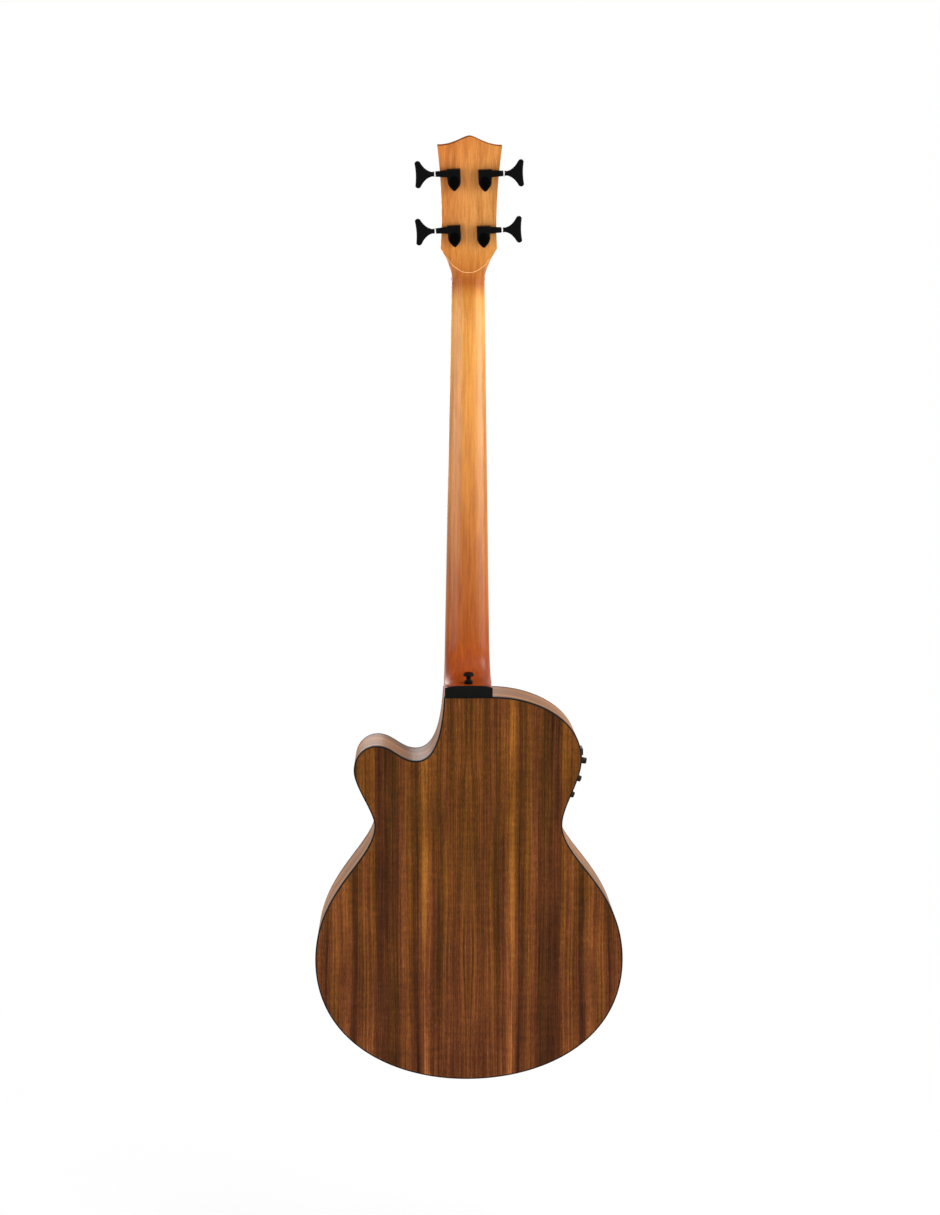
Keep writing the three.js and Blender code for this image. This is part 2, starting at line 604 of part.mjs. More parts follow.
// The string's upper turns and its end, which is bent into the slot of the post and turns with it
const coilTurns = 1.25;
const slotDepth = 5;
const capstanEnd = -41;
const runClearance = 0.6; // keeps the turning coil clear of the run that slopes in beneath it
function coilPoints(p) {
  const radius = wrapRadius(p);
  const start = postTangent(p) - (22 / 24) * 2 * Math.PI;
  const points = [];
  const steps = Math.round(coilTurns * 24);
  for (let i = 0; i <= steps; i += 1) {
    const t = i / 24;
    points.push(aroundPost(p, radius, start - t * 2 * Math.PI, firstWrapY(p) - runClearance - wrapPitch(p) * (1 + t)));
  }
  return points;
}
const slotAngle = (p) => postTangent(p) - (22 / 24 + coilTurns + 0.28) * 2 * Math.PI;
function coil(p) {
  const points = coilPoints(p);
  const r = p.gauge / 2;
  const rise = slotAngle(p);
  const wide = 5.4 + glue + r + 0.5;
  const slotY = capstanEnd + slotDepth - r - 0.4;
  const lastY = points.at(-1).y;
  points.push(aroundPost(p, (wide + wrapRadius(p)) / 2 + 0.3, rise + 1.2, lastY + (slotY - lastY) * 0.35));
  points.push(aroundPost(p, wide + 0.4, rise + 0.75, lastY + (slotY - lastY) * 0.85));
  points.push(aroundPost(p, wide + 0.5, rise + 0.3, slotY), aroundPost(p, wide - 0.5, rise + 0.06, slotY));
  points.push(aroundPost(p, wide - 2.2, rise, slotY), aroundPost(p, 0.6, rise, slotY));
  return tube(points, r, 6);
}

// The least gap between turns, measured on points of the winding a full turn or nearly so apart
posts.forEach((p) => {
  const points = [...coilPoints(p)];
  for (let i = 0; i <= 22; i += 1) points.unshift(aroundPost(p, wrapRadius(p), postTangent(p) - ((22 - i) / 24) * 2 * Math.PI, firstWrapY(p)));
  let least = Infinity;
  points.forEach((a, i) => points.slice(i + 16).forEach((b) => (least = Math.min(least, a.distanceTo(b) - p.gauge))));
  console.log("winding " + p.id + ": least gap between turns " + least.toFixed(2) + " mm");
});

// A tuning machine in its own frame: x runs out to the key, y out of the headstock's back, and z up it.
// A worm on the key's shaft turns the wheel on the string post.
const wheelTeeth = 14;
const wheelPitch = 6.2;
const wormPitch = 2.5;
const wormZ = wheelPitch + wormPitch;
const wormY = 6.2;
const lead = (2 * Math.PI * wheelPitch) / wheelTeeth;

function wheel() {
  const toothAngle = (2 * Math.PI) / wheelTeeth;
  const twist = lead / (2 * Math.PI * wormPitch) / wheelPitch; // radians for each millimetre of width
  const halves = [[5.35, 0.72], [6.55, 0.34]]; // radius and half thickness of a tooth at root and tip
  const sections = [-1.5, 1.5].map((y) => {
    const points = [];
    for (let i = 0; i < wheelTeeth; i += 1) {
      const middle = Math.PI / 2 + (i + 0.5) * toothAngle;
      [[0, -1], [1, -1], [1, 1], [0, 1]].forEach(([place, turn]) => {
        const [radius, half] = halves[place];
        const a = middle + (turn * half) / radius - twist * y;
        points.push(V3(radius * Math.cos(a), wormY + y, radius * Math.sin(a)));
      });
    }
    return points;
  });
  return loft(sections);
}

function worm() {
  const steps = 24;
  const turns = 3;
  const profile = [[1.8, -0.76], [3.05, -0.36], [3.05, 0.36], [1.8, 0.76]];
  const sections = [];
  for (let i = 0; i <= steps; i += 1) {
    const turn = turns * (i / steps - 0.5);
    const a = -Math.PI / 2 + 2 * Math.PI * turn;
    sections.push(profile.map(([radius, along]) => V3(lead * turn + along, radius * Math.cos(a), radius * Math.sin(a))));
  }
  return loft(sections);
}

function housing() {
  const outline = new THREE.Shape();
  outline.moveTo(-8.3, 14.2);
  outline.lineTo(-8.3, -1.5);
  outline.quadraticCurveTo(-8, -5, -5.6, -8);
  outline.lineTo(-1.8, -12.2);
  outline.quadraticCurveTo(0, -13.6, 1.8, -12.2);
  outline.lineTo(5.6, -8);
  outline.quadraticCurveTo(8, -5, 8.3, -1.5);
  outline.lineTo(8.8, 14.2);
  const cover = slab(outline, glue, 10.8, 3, 0.9);
  const gearCap = move(bar("y", 6.2, 10, 11.5, 14, 5.6).scale([1, 1, 1.16]), 0, 0, -1.6);
  const arm = move(bar("x", 4.6, 7.8, 23.2, 12, 3.4), 0, wormY, wormZ);
  const wheelSpace = bar("y", 7.2, -1, 8.6, 14);
  const wormSpace = box(-6.4, 6.4, -1, 9.8, 3, 12.2);
  const shaftBore = move(bar("x", 2.35, 0, 30, 12), 0, wormY, wormZ);
  const endBore = move(bar("x", 1.75, -20, 0, 10), 0, wormY, wormZ);
  return cover.add(gearCap).add(arm).subtract(wheelSpace).subtract(wormSpace).subtract(shaftBore).subtract(endBore);
}

function key() {
  const leaf = new THREE.Shape();
  leaf.moveTo(25.2, -2.4);
  leaf.bezierCurveTo(33, -3.2, 38, -7.6, 42, -14.6);
  leaf.bezierCurveTo(43.6, -18, 48.6, -17.6, 49.4, -14);
  leaf.bezierCurveTo(48.6, -9, 48.2, -4, 48.2, 0);
  leaf.bezierCurveTo(48.2, 4, 48.6, 9, 49.4, 14);
  leaf.bezierCurveTo(48.6, 17.6, 43.6, 18, 42, 14.6);
  leaf.bezierCurveTo(38, 7.6, 33, 3.2, 25.2, 2.4);
  const blade = slab(leaf, -2.6, 2.6, 4, 0.9);
  const hub = bar("x", 3.1, 25, 33, 10, 1.4);
  const shaft = bar("x", 2, -6.2, 25.5, 8).add(bar("x", 1.4, -8.1, -6, 8));
  return move(blade.add(hub).add(shaft).add(worm()), 0, wormY, wormZ);
}

const keyWasher = () =>
  move(turned([[2.3, 23.5], [3.8, 23.5], [3.8, 24.7], [2.3, 24.7], [2.3, 23.5]], 12).rotate([0, 0, -90]), 0, wormY, wormZ);

function stringPost(p) {
  const capstan = turned(
    [[0, 8.2], [3.2, 8.2], [3.2, -21.6], [5.9, -21.6], [5.9, -22.4], [spoolRadius, -22.7], [spoolRadius, capstanEnd + 6.6],
      [5.4, capstanEnd + 5], [5.4, capstanEnd + 0.6], [4.8, capstanEnd], [0, capstanEnd]],
    12,
  );
  const angle = THREE.MathUtils.radToDeg(slotAngle(p)) + p.skew * p.mirror;
  const slot = box(-0.1, 9, capstanEnd - 1, capstanEnd + slotDepth, -p.gauge / 2 - 0.9, p.gauge / 2 + 0.9).add(bar("y", p.gauge / 2 + 1, capstanEnd - 1, capstanEnd + slotDepth, 10));
  return capstan.add(wheel()).subtract(slot.rotate([0, -angle, 0]));
}

const bushing = () =>
  turned([[3.55, -21.2], [3.55, -9], [5.2, -9], [5.2, -19.1], [8, -19.1], [8, -20.6], [7.2, -21.2], [3.55, -21.2]], 12);

// The side preamp: a panel bent to the bass side, its case inside the body, three knobs and a button
const panelTop = -609;
const panelBottom = -687;
const panelY = [24, 62];
const knobs = [
  ["volume_knob", -628],
  ["bass_knob", -650.5],
  ["treble_knob", -672],
];
const buttonZ = -682;
const displayZ = -615.5; // the raised window of the built-in tuner
const bassSide = (z) => {
  const curves = outlinePath().curves;
  const curve = z > -619 ? curves[9] : curves[10];
  let [low, high] = [0, 1];
  for (let i = 0; i < 40; i += 1) {
    const t = (low + high) / 2;
    if (curve.getPoint(t).y > z) low = t;
    else high = t;
  }
  const p = curve.getPoint(low);
  const tangent = curve.getTangent(low);
  return { p, out: V2(tangent.y, -tangent.x) };
};
const controlY = (panelY[0] + panelY[1]) / 2;

// Everything inside the bass side's outer face, or beyond it by a negative offset
const withinSide = (offset, deep = 30) =>
  loft(
    fineRim
      .slice(mortiseBass)
      .filter((s) => s.p.y > -760)
      .map((s) => [onRim(s, offset, 0), onRim(s, deep, 0), onRim(s, deep, 90), onRim(s, offset, 90)]),
  );

function panel() {
  const steps = 8;
  const bevel = 0.8;
  const sections = [];
  for (let i = 0; i <= steps; i += 1) {
    const { p, out } = bassSide(panelTop + ((panelBottom - panelTop) * i) / steps);
    const at = (off, y) => V3(p.x + out.x * off, y, p.y + out.y * off);
    const [y0, y1] = panelY;
    const thin = i === 0 || i === steps ? 1.2 : 2;
    sections.push([at(-2, y0), at(thin - 0.3, y0), at(thin + 0.4, y0 + bevel), at(thin + 0.4, y1 - bevel), at(thin - 0.3, y1), at(-2, y1)]);
  }
  const display = standing(box(-4.5, 4.5, 1, 4.6, -11, 11), displayZ);
  let made = loft(sections).add(display).subtract(withinSide(-glue - 0.05));
  [...knobs.map(([, z]) => [z, 2.5]), [buttonZ, 2.4]].forEach(([z, radius]) => {
    made = made.subtract(standing(bar("y", radius, -3, 12, 10), z));
  });
  return made;
}

// Turns a piece made along Y so that it stands on the bass side at height z, y = 0 on the side's face.
function standing(made, z) {
  const { p, out } = bassSide(z);
  const angle = THREE.MathUtils.radToDeg(Math.atan2(out.x, out.y));
  return made.rotate([90, 0, 0]).rotate([0, angle, 0]).translate([p.x, controlY, p.y]);
}

function knob(z) {
  const made = turned([[0, -6], [2.1, -6], [2.1, 2.9], [4.4, 2.9], [4.4, 3.6], [4, 10], [3.5, 10.6], [0, 10.6]], 14);
  return standing(made, z);
}
const button = () => standing(turned([[0, -4], [1.9, -4], [1.9, 4.2], [1.4, 4.8], [0, 4.8]], 12), buttonZ);

const buttonHole = () => standing(bar("y", 2.5, -8, 2, 10), buttonZ);

// The case stands square to the panel's chord.
const caseAt = (() => {
  const [a, b] = [bassSide(-615).p, bassSide(-680).p];
  const angle = Math.atan2(a.x - b.x, a.y - b.y);
  return { middle: a.clone().add(b).multiplyScalar(0.5), angle: THREE.MathUtils.radToDeg(angle) };
})();
const caseFrame = (made) => made.rotate([0, caseAt.angle, 0]).translate([caseAt.middle.x, 0, caseAt.middle.y]);
const caseHalf = 31;
// The case is an open box whose rim follows the underside of the bent panel.
function preampCase() {
  const outer = box(-12, 42, panelY[0] + 5, panelY[1] - 5, -caseHalf, caseHalf);
  const inner = box(-14, 40, panelY[0] + 7, panelY[1] - 7, -caseHalf + 2, caseHalf - 2);
  return caseFrame(outer.subtract(inner)).intersect(withinSide(0, 70));
}
const battery = () => caseFrame(box(13, 39.6, panelY[0] + 10, panelY[1] - 10, -24, 24));
const caseOpening = () => caseFrame(box(-12, 10, panelY[0] + 4, panelY[1] - 4, -caseHalf - 0.5, caseHalf + 0.5));

// Assembly
const guitar = new THREE.Group();
guitar.name = "acoustic_bass_guitar";
const body = new THREE.Group();
const neckGroup = new THREE.Group();
const electrics = new THREE.Group();
guitar.add(body, neckGroup, electrics);

const tailEnd = fineRim.length;
body.add(
  mesh("soundboard", soundboard(), spruce),
  mesh("back_plate", backPlate(), koa),
  mesh("treble_side", side(0, mortiseTreble).subtract(endpinBore(6.5)), koa),
  mesh("bass_side", side(mortiseBass, tailEnd).subtract(endpinBore(6.5)).subtract(caseOpening()).subtract(buttonHole()), koa),
  mesh("top_binding", binding(0, bindingHeight), blackPlastic),
  mesh("back_binding", binding(fromBack(0), fromBack(bindingHeight)), blackPlastic),
  mesh("neck_block", neckBlock(), mahogany),
  mesh("tail_block", tailBlock(), mahogany),
  mesh("top_bracing", topBracing(), bracewood),
  mesh("bridge_plate", box(-78, 78, plate + glue, plate + glue + 2.4, saddleZ - 22, saddleZ + 18), bracewood),
  mesh("bridge", bridge(), darkWood),
  mesh("saddle", saddle(), bone),
  mesh("endpin_jack", endpinJack(), blackMetal),
);
backBraceZ.forEach((z, i) => body.add(mesh("back_brace_" + (i + 1), backBrace(z), bracewood)));

neckGroup.add(
  mesh("neck", neck(), mahogany),
  mesh("fingerboard", fingerboard(), darkWood),
  mesh("nut", nut(), blackPlastic),
  mesh("headplate", headplate(), darkWood),
  mesh("truss_rod", trussRod(), steel),
  mesh("truss_rod_cover", trussRodCover(), blackPlastic),
  mesh("heel_cap", heelCap(), blackPlastic),
  mesh("strap_button", strapButton(), blackMetal),
);

electrics.add(mesh("preamp_panel", panel(), blackPlastic), mesh("preamp_case", preampCase(), blackPlastic), mesh("battery", battery(), steel));
knobs.forEach(([name, z]) => electrics.add(mesh(name, knob(z), blackPlastic)));
electrics.add(mesh("tuner_button", button(), blackPlastic));

// Each machine stands on the headstock's back, turned a little as it was screwed on.
const headGroup = new THREE.Group();
headGroup.rotation.x = -headAngle;
headGroup.position.y = headBack;
neckGroup.add(headGroup);
posts.forEach((p) => {
  const machine = new THREE.Group();
  machine.position.set(p.x, 0, p.z);
  machine.rotation.y = THREE.MathUtils.degToRad(p.skew);
  machine.scale.x = p.mirror;
  machine.add(
    mesh("tuner_housing_" + p.id, housing(), blackMetal),
    mesh("tuner_key_" + p.id, key(), blackMetal),
    mesh("key_washer_" + p.id, keyWasher(), whitePlastic),
    mesh("string_post_" + p.id, stringPost(p), blackMetal),
    mesh("post_bushing_" + p.id, bushing(), blackMetal),
  );
  headGroup.add(machine);
  headGroup.add(mesh("string_coil_" + p.id, coil(p), bronze));
  neckGroup.add(mesh("string_" + p.id, stringRun(p), bronze));
});

export default guitar;
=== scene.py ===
"""The looks of an acoustic bass guitar, seen from behind.

Lengths are in millimetres, but the camera, the lamps and the floor are placed in metres.
"""
from collections import namedtuple
from math import acos, atan2, copysign, cos, dist, hypot, pi, radians, sin, sqrt, tan

import bmesh
import bpy
from mathutils import Matrix, Vector


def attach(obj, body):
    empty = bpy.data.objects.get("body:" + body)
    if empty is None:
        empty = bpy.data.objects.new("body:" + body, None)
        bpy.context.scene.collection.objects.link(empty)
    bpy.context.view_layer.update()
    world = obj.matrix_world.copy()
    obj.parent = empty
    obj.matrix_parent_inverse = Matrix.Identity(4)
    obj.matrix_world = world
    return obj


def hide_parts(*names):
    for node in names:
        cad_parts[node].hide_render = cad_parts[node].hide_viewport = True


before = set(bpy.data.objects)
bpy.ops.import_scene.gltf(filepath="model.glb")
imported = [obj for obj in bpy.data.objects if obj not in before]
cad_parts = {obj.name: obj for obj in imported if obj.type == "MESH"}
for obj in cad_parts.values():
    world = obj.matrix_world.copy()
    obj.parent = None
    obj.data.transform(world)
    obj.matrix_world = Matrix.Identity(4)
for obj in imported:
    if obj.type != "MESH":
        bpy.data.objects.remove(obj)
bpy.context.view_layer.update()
scene = bpy.context.scene
MM = 0.001
TURN = 2 * pi

# Driving dimensions, the same as in the part's source
SCALE_LENGTH = 864
FRETS = 20
NUT_HALF = 21.5
NECK_TAPER = 0.0171
BODY_TOP = -536
TAIL = -1044.5
LOWER = 201
LOWER_BASS = 204
WAIST = 122.8
UPPER = 147.8
HORN = 149.6
HORN_TOP = -600
CUTAWAY_FLOOR = -619.7
UPPER_WIDEST = -619  # height at which the bass side's upper bout is widest
WAIST_Z = -705
DEPTH_NECK = 84
DEPTH_TAIL = 105
BACK_RADIUS = 4570
PLATE = 3
RIB = 2.4
BINDING_WIDTH = 1.8
BINDING_HEIGHT = 5.5
LINING = 6
LINING_HEIGHT = 13
HOLE_RADIUS = 50
HOLE_Z = -655
SADDLE_Z = -867
BRIDGE_BACK = SADDLE_Z - 27
HEAD_ANGLE = radians(13)
HEAD_BACK = 18.5
HEAD_THICK = 16.6
VENEER = 1.6
BOARD_THICK = 6.5
BOARD_RADIUS = 400
COVE_TOP = -470
COVE_LENGTH = 51.5
HEEL_TOP = COVE_TOP - COVE_LENGTH
GLUE = 0.3

# The camera stands behind the guitar, a little above its middle, and looks slightly down.
CAMERA_AT = Vector((0.07, 2.4135, -0.1134))
CAMERA_PITCH = 0.1303
CAMERA_YAW = -0.03056
CAMERA_ROLL = 0.003
SENSOR = 36
CAMERA_LENS = 1825 * SENSOR / 1215  # a focal length of 1825 pixels in a picture 1215 pixels high

WORLD_LIGHT = (0.345, 0.355, 0.365)
FLOOR = -1.3
FLOOR_REACH = 9
WHITE = (1, 1, 1)
# Each lamp's name, place, target, size and power in watts
LAMPS = [
    ("strip_left", (1.5, 2.2, -0.2), (0, 0, -0.4), (0.6, 2.3), 21),
    ("strip_right", (-1.8, 1.9, -0.2), (0, 0, -0.4), (0.8, 2.3), 25),
    ("flank_left", (2.45, 1.25, -0.1), (0, 0, -0.3), (0.7, 2.2), 24),
    ("flank_right", (-2.5, 1.05, -0.1), (0, 0, -0.3), (0.8, 2.2), 32),
    ("front_fill", (0.6, -2.6, 0.5), (0, 0, -0.5), (1.6, 2.0), 38),
    ("overhead", (-1.2, 0.35, 1.7), (0, 0.05, -0.75), (1.2, 0.8), 36),
]


def fret_z(n):
    return -SCALE_LENGTH * (1 - 2 ** (-n / 12))


def half_width(z):
    """Half the width of the neck at height z."""
    return NUT_HALF - NECK_TAPER * z


def back_at(x, z):
    """The outer face of the back, which deepens towards the tail and is arched across."""
    share = (BODY_TOP - z) / (BODY_TOP - TAIL)
    return DEPTH_NECK + (DEPTH_TAIL - DEPTH_NECK) * share - x * x / (2 * BACK_RADIUS)


def board_at(x):
    """The crowned face of the fingerboard."""
    return -BOARD_THICK + x * x / (2 * BOARD_RADIUS)


# Node trees
class Nodes:
    """Writes a node tree in the order in which it is read."""

    def __init__(self, tree):
        self.tree = tree

    def add(self, kind, **settings):
        node = self.tree.nodes.new("ShaderNode" + kind)
        for key, value in settings.items():
            setattr(node, key, value)
        return node

    def link(self, a, b):
        self.tree.links.new(a, b)

    def put(self, socket, value):
        if isinstance(value, bpy.types.NodeSocket):
            self.link(value, socket)
        else:
            socket.default_value = value

    def maths(self, operation, a, b=0.0, clamp=False):
        node = self.add("Math", operation=operation, use_clamp=clamp)
        self.put(node.inputs[0], a)
        self.put(node.inputs[1], b)
        return node.outputs[0]

    def times(self, a, b):
        return self.maths("MULTIPLY", a, b)

    def plus(self, a, b, clamp=False):
        return self.maths("ADD", a, b, clamp)

    def minus(self, a, b):
        return self.maths("SUBTRACT", a, b)

    def apart(self, vector):
        node = self.add("SeparateXYZ")
        self.link(vector, node.inputs[0])
        return node.outputs

    def join(self, x, y, z):
        node = self.add("CombineXYZ")
        for socket, value in zip(node.inputs, (x, y, z)):
            self.put(socket, value)
        return node.outputs[0]

    def coordinates(self):
        return self.add("TexCoord").outputs["Object"]

    def place(self):
        """The object's own coordinates in millimetres, as x, y and z."""
        return [self.times(axis, 1 / MM) for axis in self.apart(self.coordinates())]

    def noise(self, vector, scale, detail, rough=0.55, distort=0.0):
        node = self.add("TexNoise")
        self.link(vector, node.inputs["Vector"])
        settings = {"Scale": scale, "Detail": detail, "Roughness": rough, "Distortion": distort}
        for key, value in settings.items():
            node.inputs[key].default_value = value
        return node.outputs["Fac"]

    def grain(self, x, y, z, *settings):
        """Stretched noise: each axis is a number, or a coordinate with its share for each millimetre."""
        axes = [self.times(*axis) if isinstance(axis, tuple) else axis for axis in (x, y, z)]
        return self.noise(self.join(*axes), 1.0, *settings)

    def layered(self, tone, layers, strength=1.0):
        """Adds noises to a tone, each about its own middle and by its weight."""
        for layer, weight in layers:
            tone = self.plus(tone, self.times(self.minus(layer, 0.5), weight * strength))
        return tone

    def span(self, value, low, high, to_low=0.0, to_high=1.0):
        node = self.add("MapRange")
        self.put(node.inputs["Value"], value)
        for key, number in (("From Min", low), ("From Max", high), ("To Min", to_low), ("To Max", to_high)):
            node.inputs[key].default_value = number
        return node.outputs["Result"]

    def ramp(self, value, stops):
        node = self.add("ValToRGB")
        points = node.color_ramp.elements
        while len(points) < len(stops):
            points.new(0.5)
        for point, (place, colour) in zip(points, stops):
            point.position = place
            point.color = (*colour, 1)
        self.put(node.inputs["Fac"], value)
        return node.outputs["Color"]

    def blend(self, kind, factor, a, b):
        node = self.add("Mix", data_type="RGBA", blend_type=kind)
        self.put(node.inputs["Factor"], factor)
        for key, value in (("A", a), ("B", b)):
            self.put(node.inputs[key], (*value, 1) if isinstance(value, tuple) else value)
        return node.outputs["Result"]

    def tinted(self, colour, share, tint):
        return self.blend("MULTIPLY", share, colour, tint)

    def seen_by(self, *rays):
        """1 for the named kinds of ray and 0 for the rest."""
        path = self.add("LightPath").outputs
        share = path[rays[0]]
        for ray in rays[1:]:
            share = self.maths("MAXIMUM", share, path[ray])
        return share


class Look(Nodes):
    """A new material with its principled shader."""

    def __init__(self, name):
        self.material = bpy.data.materials.new(name)
        self.material.use_nodes = True
        super().__init__(self.material.node_tree)
        self.shader = self.tree.nodes["Principled BSDF"]

    def bump(self, height, strength, distance):
        node = self.add("Bump")
        node.inputs["Strength"].default_value = strength
        node.inputs["Distance"].default_value = distance * MM
        self.link(height, node.inputs["Height"])
        self.link(node.outputs["Normal"], self.shader.inputs["Normal"])

    def surface(self, colour, rough, specular, metallic=0.0):
        inputs = self.shader.inputs
        self.link(colour, inputs["Base Color"])
        self.link(rough, inputs["Roughness"])
        self.put(inputs["Specular IOR Level"], specular)
        inputs["Metallic"].default_value = metallic
        return self.material


# Camera, lamps, world and floor
def placed(name, data):
    obj = bpy.data.objects.new(name, data)
    scene.collection.objects.link(obj)
    return obj


def make_camera():
    data = bpy.data.cameras.new("camera")
    data.sensor_width = SENSOR
    data.lens = CAMERA_LENS
    data.clip_start = 0.05
    place = Matrix.Translation(CAMERA_AT)
    for angle, axis in ((pi + CAMERA_YAW, "Z"), (pi / 2 - CAMERA_PITCH, "X"), (CAMERA_ROLL, "Z")):
        place = place @ Matrix.Rotation(angle, 4, axis)
    scene.camera = placed("camera", data)
    scene.camera.matrix_world = place


def make_lamp(name, place, target, size, power):
    data = bpy.data.lights.new(name, "AREA")
    data.shape = "RECTANGLE"
    data.size, data.size_y = size
    data.energy = power
    lamp = placed(name, data)
    lamp.location = place
    aim = Vector(target) - Vector(place)
    lamp.rotation_euler = aim.to_track_quat("-Z", "Y").to_euler()


def make_world():
    """White where it is seen, directly or in a mirror or glass, and a plain grey light elsewhere."""
    world = bpy.data.worlds.new("studio")
    scene.world = world
    world.use_nodes = True
    n = Nodes(world.node_tree)
    n.tree.nodes.clear()
    out = n.add("OutputWorld")
    background = n.add("Background")
    seen = n.seen_by("Is Camera Ray", "Is Glossy Ray", "Is Transmission Ray")
    n.link(n.blend("MIX", seen, WORLD_LIGHT, WHITE), background.inputs["Color"])
    n.link(background.outputs[0], out.inputs["Surface"])


def make_floor():
    """A white floor under the guitar that keeps its shadow near by and fades into the backdrop."""
    mesh = bpy.data.meshes.new("floor")
    far = FLOOR_REACH
    mesh.from_pydata([(-far, -far, 0), (far, -far, 0), (far, far, 0), (-far, far, 0)], [], [(0, 1, 2, 3)])
    floor = placed("floor", mesh)
    floor.location.z = FLOOR
    material = bpy.data.materials.new("floor_white")
    material.use_nodes = True
    n = Nodes(material.node_tree)
    n.tree.nodes.clear()
    out = n.add("OutputMaterial")
    diffuse = n.add("BsdfDiffuse")
    diffuse.inputs["Color"].default_value = (0.93, 0.93, 0.93, 1)
    glow = n.add("Emission")
    glow.inputs["Color"].default_value = (*WHITE, 1)
    reach = n.add("VectorMath", operation="LENGTH")
    n.link(n.coordinates(), reach.inputs[0])
    near = n.span(reach.outputs["Value"], 0.35, 1.2, 0.82, 1.0)
    mix = n.add("MixShader")
    n.link(n.times(n.seen_by("Is Camera Ray", "Is Glossy Ray"), near), mix.inputs["Fac"])
    n.link(diffuse.outputs[0], mix.inputs[1])
    n.link(glow.outputs[0], mix.inputs[2])
    n.link(mix.outputs[0], out.inputs["Surface"])
    mesh.materials.append(material)


make_camera()
make_world()
make_floor()
for lamp in LAMPS:
    make_lamp(*lamp)

# Materials
# The figure of one half of the book-matched back: place from the seam, and tone from dark to light
FIGURE = [
    (0, 0.44), (5, 0.34), (12, 0.52), (20, 0.38), (31, 0.50), (38, 0.36), (46, 0.50), (53, 0.84),
    (60, 0.66), (65, 0.26), (70, 0.34), (75, 0.58), (83, 0.42), (89, 0.54), (94, 0.18), (101, 0.28),
    (107, 0.10), (119, 0.16), (124, 0.52), (132, 0.44), (138, 0.58), (144, 0.46), (149, 0.14),
    (154, 0.28), (158, 0.60), (163, 0.72), (170, 0.40), (178, 0.54), (186, 0.24), (194, 0.50), (204, 0.36),
]
FIGURE_WIDTH = 204
FIGURE_MIDDLE = 0.42
OLIVE = [
    (0.05, (0.021, 0.0070, 0.0010)), (0.30, (0.063, 0.0213, 0.0030)),
    (0.52, (0.144, 0.0468, 0.0060)), (0.82, (0.34, 0.127, 0.0185)),
]
RUDDY = [
    (0.05, (0.023, 0.0062, 0.0016)), (0.30, (0.070, 0.0190, 0.0052)),
    (0.52, (0.153, 0.0446, 0.0115)), (0.82, (0.36, 0.124, 0.0300)),
]


def striped_wood(name, mirrored, specular, rough, painted_sheen=0.0):
    """A brown hardwood with straight dark and light bands along Z, olive and reddish by turns."""
    n = Look(name)
    x, y, z = n.place()
    across = n.maths("ABSOLUTE", x) if mirrored else n.plus(n.times(x, 0.3), n.times(y, 1.4))
    slow = n.grain((across, 0.009), 0.0, (z, 0.0028), 1.0)
    wavy = n.grain((across, 0.02), 4.0, (z, 0.014), 1.0)
    place = n.plus(across, n.plus(n.times(n.minus(slow, 0.5), 17.0), n.times(n.minus(wavy, 0.5), 2.2)))
    if mirrored:
        stops = [(at / FIGURE_WIDTH, (tone, tone, tone)) for at, tone in FIGURE]
        bands = n.ramp(n.span(place, 0.0, FIGURE_WIDTH), stops)
        shimmer = n.grain((x, 0.02), 6.0, (z, 0.007), 2.0)
        depth = n.plus(n.span(shimmer, 0.35, 0.65, 0.5, 1.25), n.span(z, -600.0, -850.0, -0.05, 0.22))
        bands = n.plus(n.times(n.minus(bands, FIGURE_MIDDLE), depth), FIGURE_MIDDLE)
        weight, strength, lift = 0.62, 1.0, 0.108
    else:
        bands = n.grain((place, 0.07), 0.0, (z, 0.0008), 2.0, 0.6)
        weight, strength, lift = 1.7, 1.5, -0.43
    broad = n.grain((place, 0.13), 1.0, (z, 0.0016), 2.0, 0.6)
    streaks = n.grain((place, 0.50), 2.0, (z, 0.0042), 3.0, 0.65)
    lines = n.grain((place, 1.15), 3.0, (z, 0.013), 2.0, 0.6)
    fibre = n.grain((x, 1.5), (y, 1.5), (z, 0.15), 4.0, 0.72)
    curl = n.grain((across, 0.05), 5.0, (z, 0.16), 3.0)
    cloud = n.grain((x, 0.013), 0.0, (z, 0.009), 2.0)
    layers = ((broad, 0.60), (streaks, 0.72), (lines, 0.38), (fibre, 0.70), (curl, 0.20), (cloud, 0.30))
    tone = n.plus(n.layered(n.times(bands, weight), layers, strength), lift, clamp=True)
    hue = n.grain((place, 0.075), 7.0, (z, 0.0035), 2.0, 0.6)
    hue = n.plus(hue, n.span(z, -700.0, -1000.0, -0.04, 0.09))
    colour = n.blend("MIX", n.span(hue, 0.40, 0.60), n.ramp(tone, OLIVE), n.ramp(tone, RUDDY))
    pores = n.span(n.grain((x, 2.8), (y, 2.8), (z, 0.13), 2.0, 0.6), 0.60, 0.74)
    colour = n.tinted(colour, n.times(pores, 0.6), (0.36, 0.30, 0.26))
    # painted sheen: the sides are mixed towards a light tan, which stands in for the white surroundings that
    # they reflect at grazing angles
    if painted_sheen:
        colour = n.blend("MIX", painted_sheen, colour, (0.60, 0.29, 0.12))
    n.bump(n.minus(n.times(fibre, 0.4), pores), 0.2, 0.1)
    return n.surface(colour, n.span(fibre, 0.2, 0.8, rough - 0.05, rough + 0.06), specular)


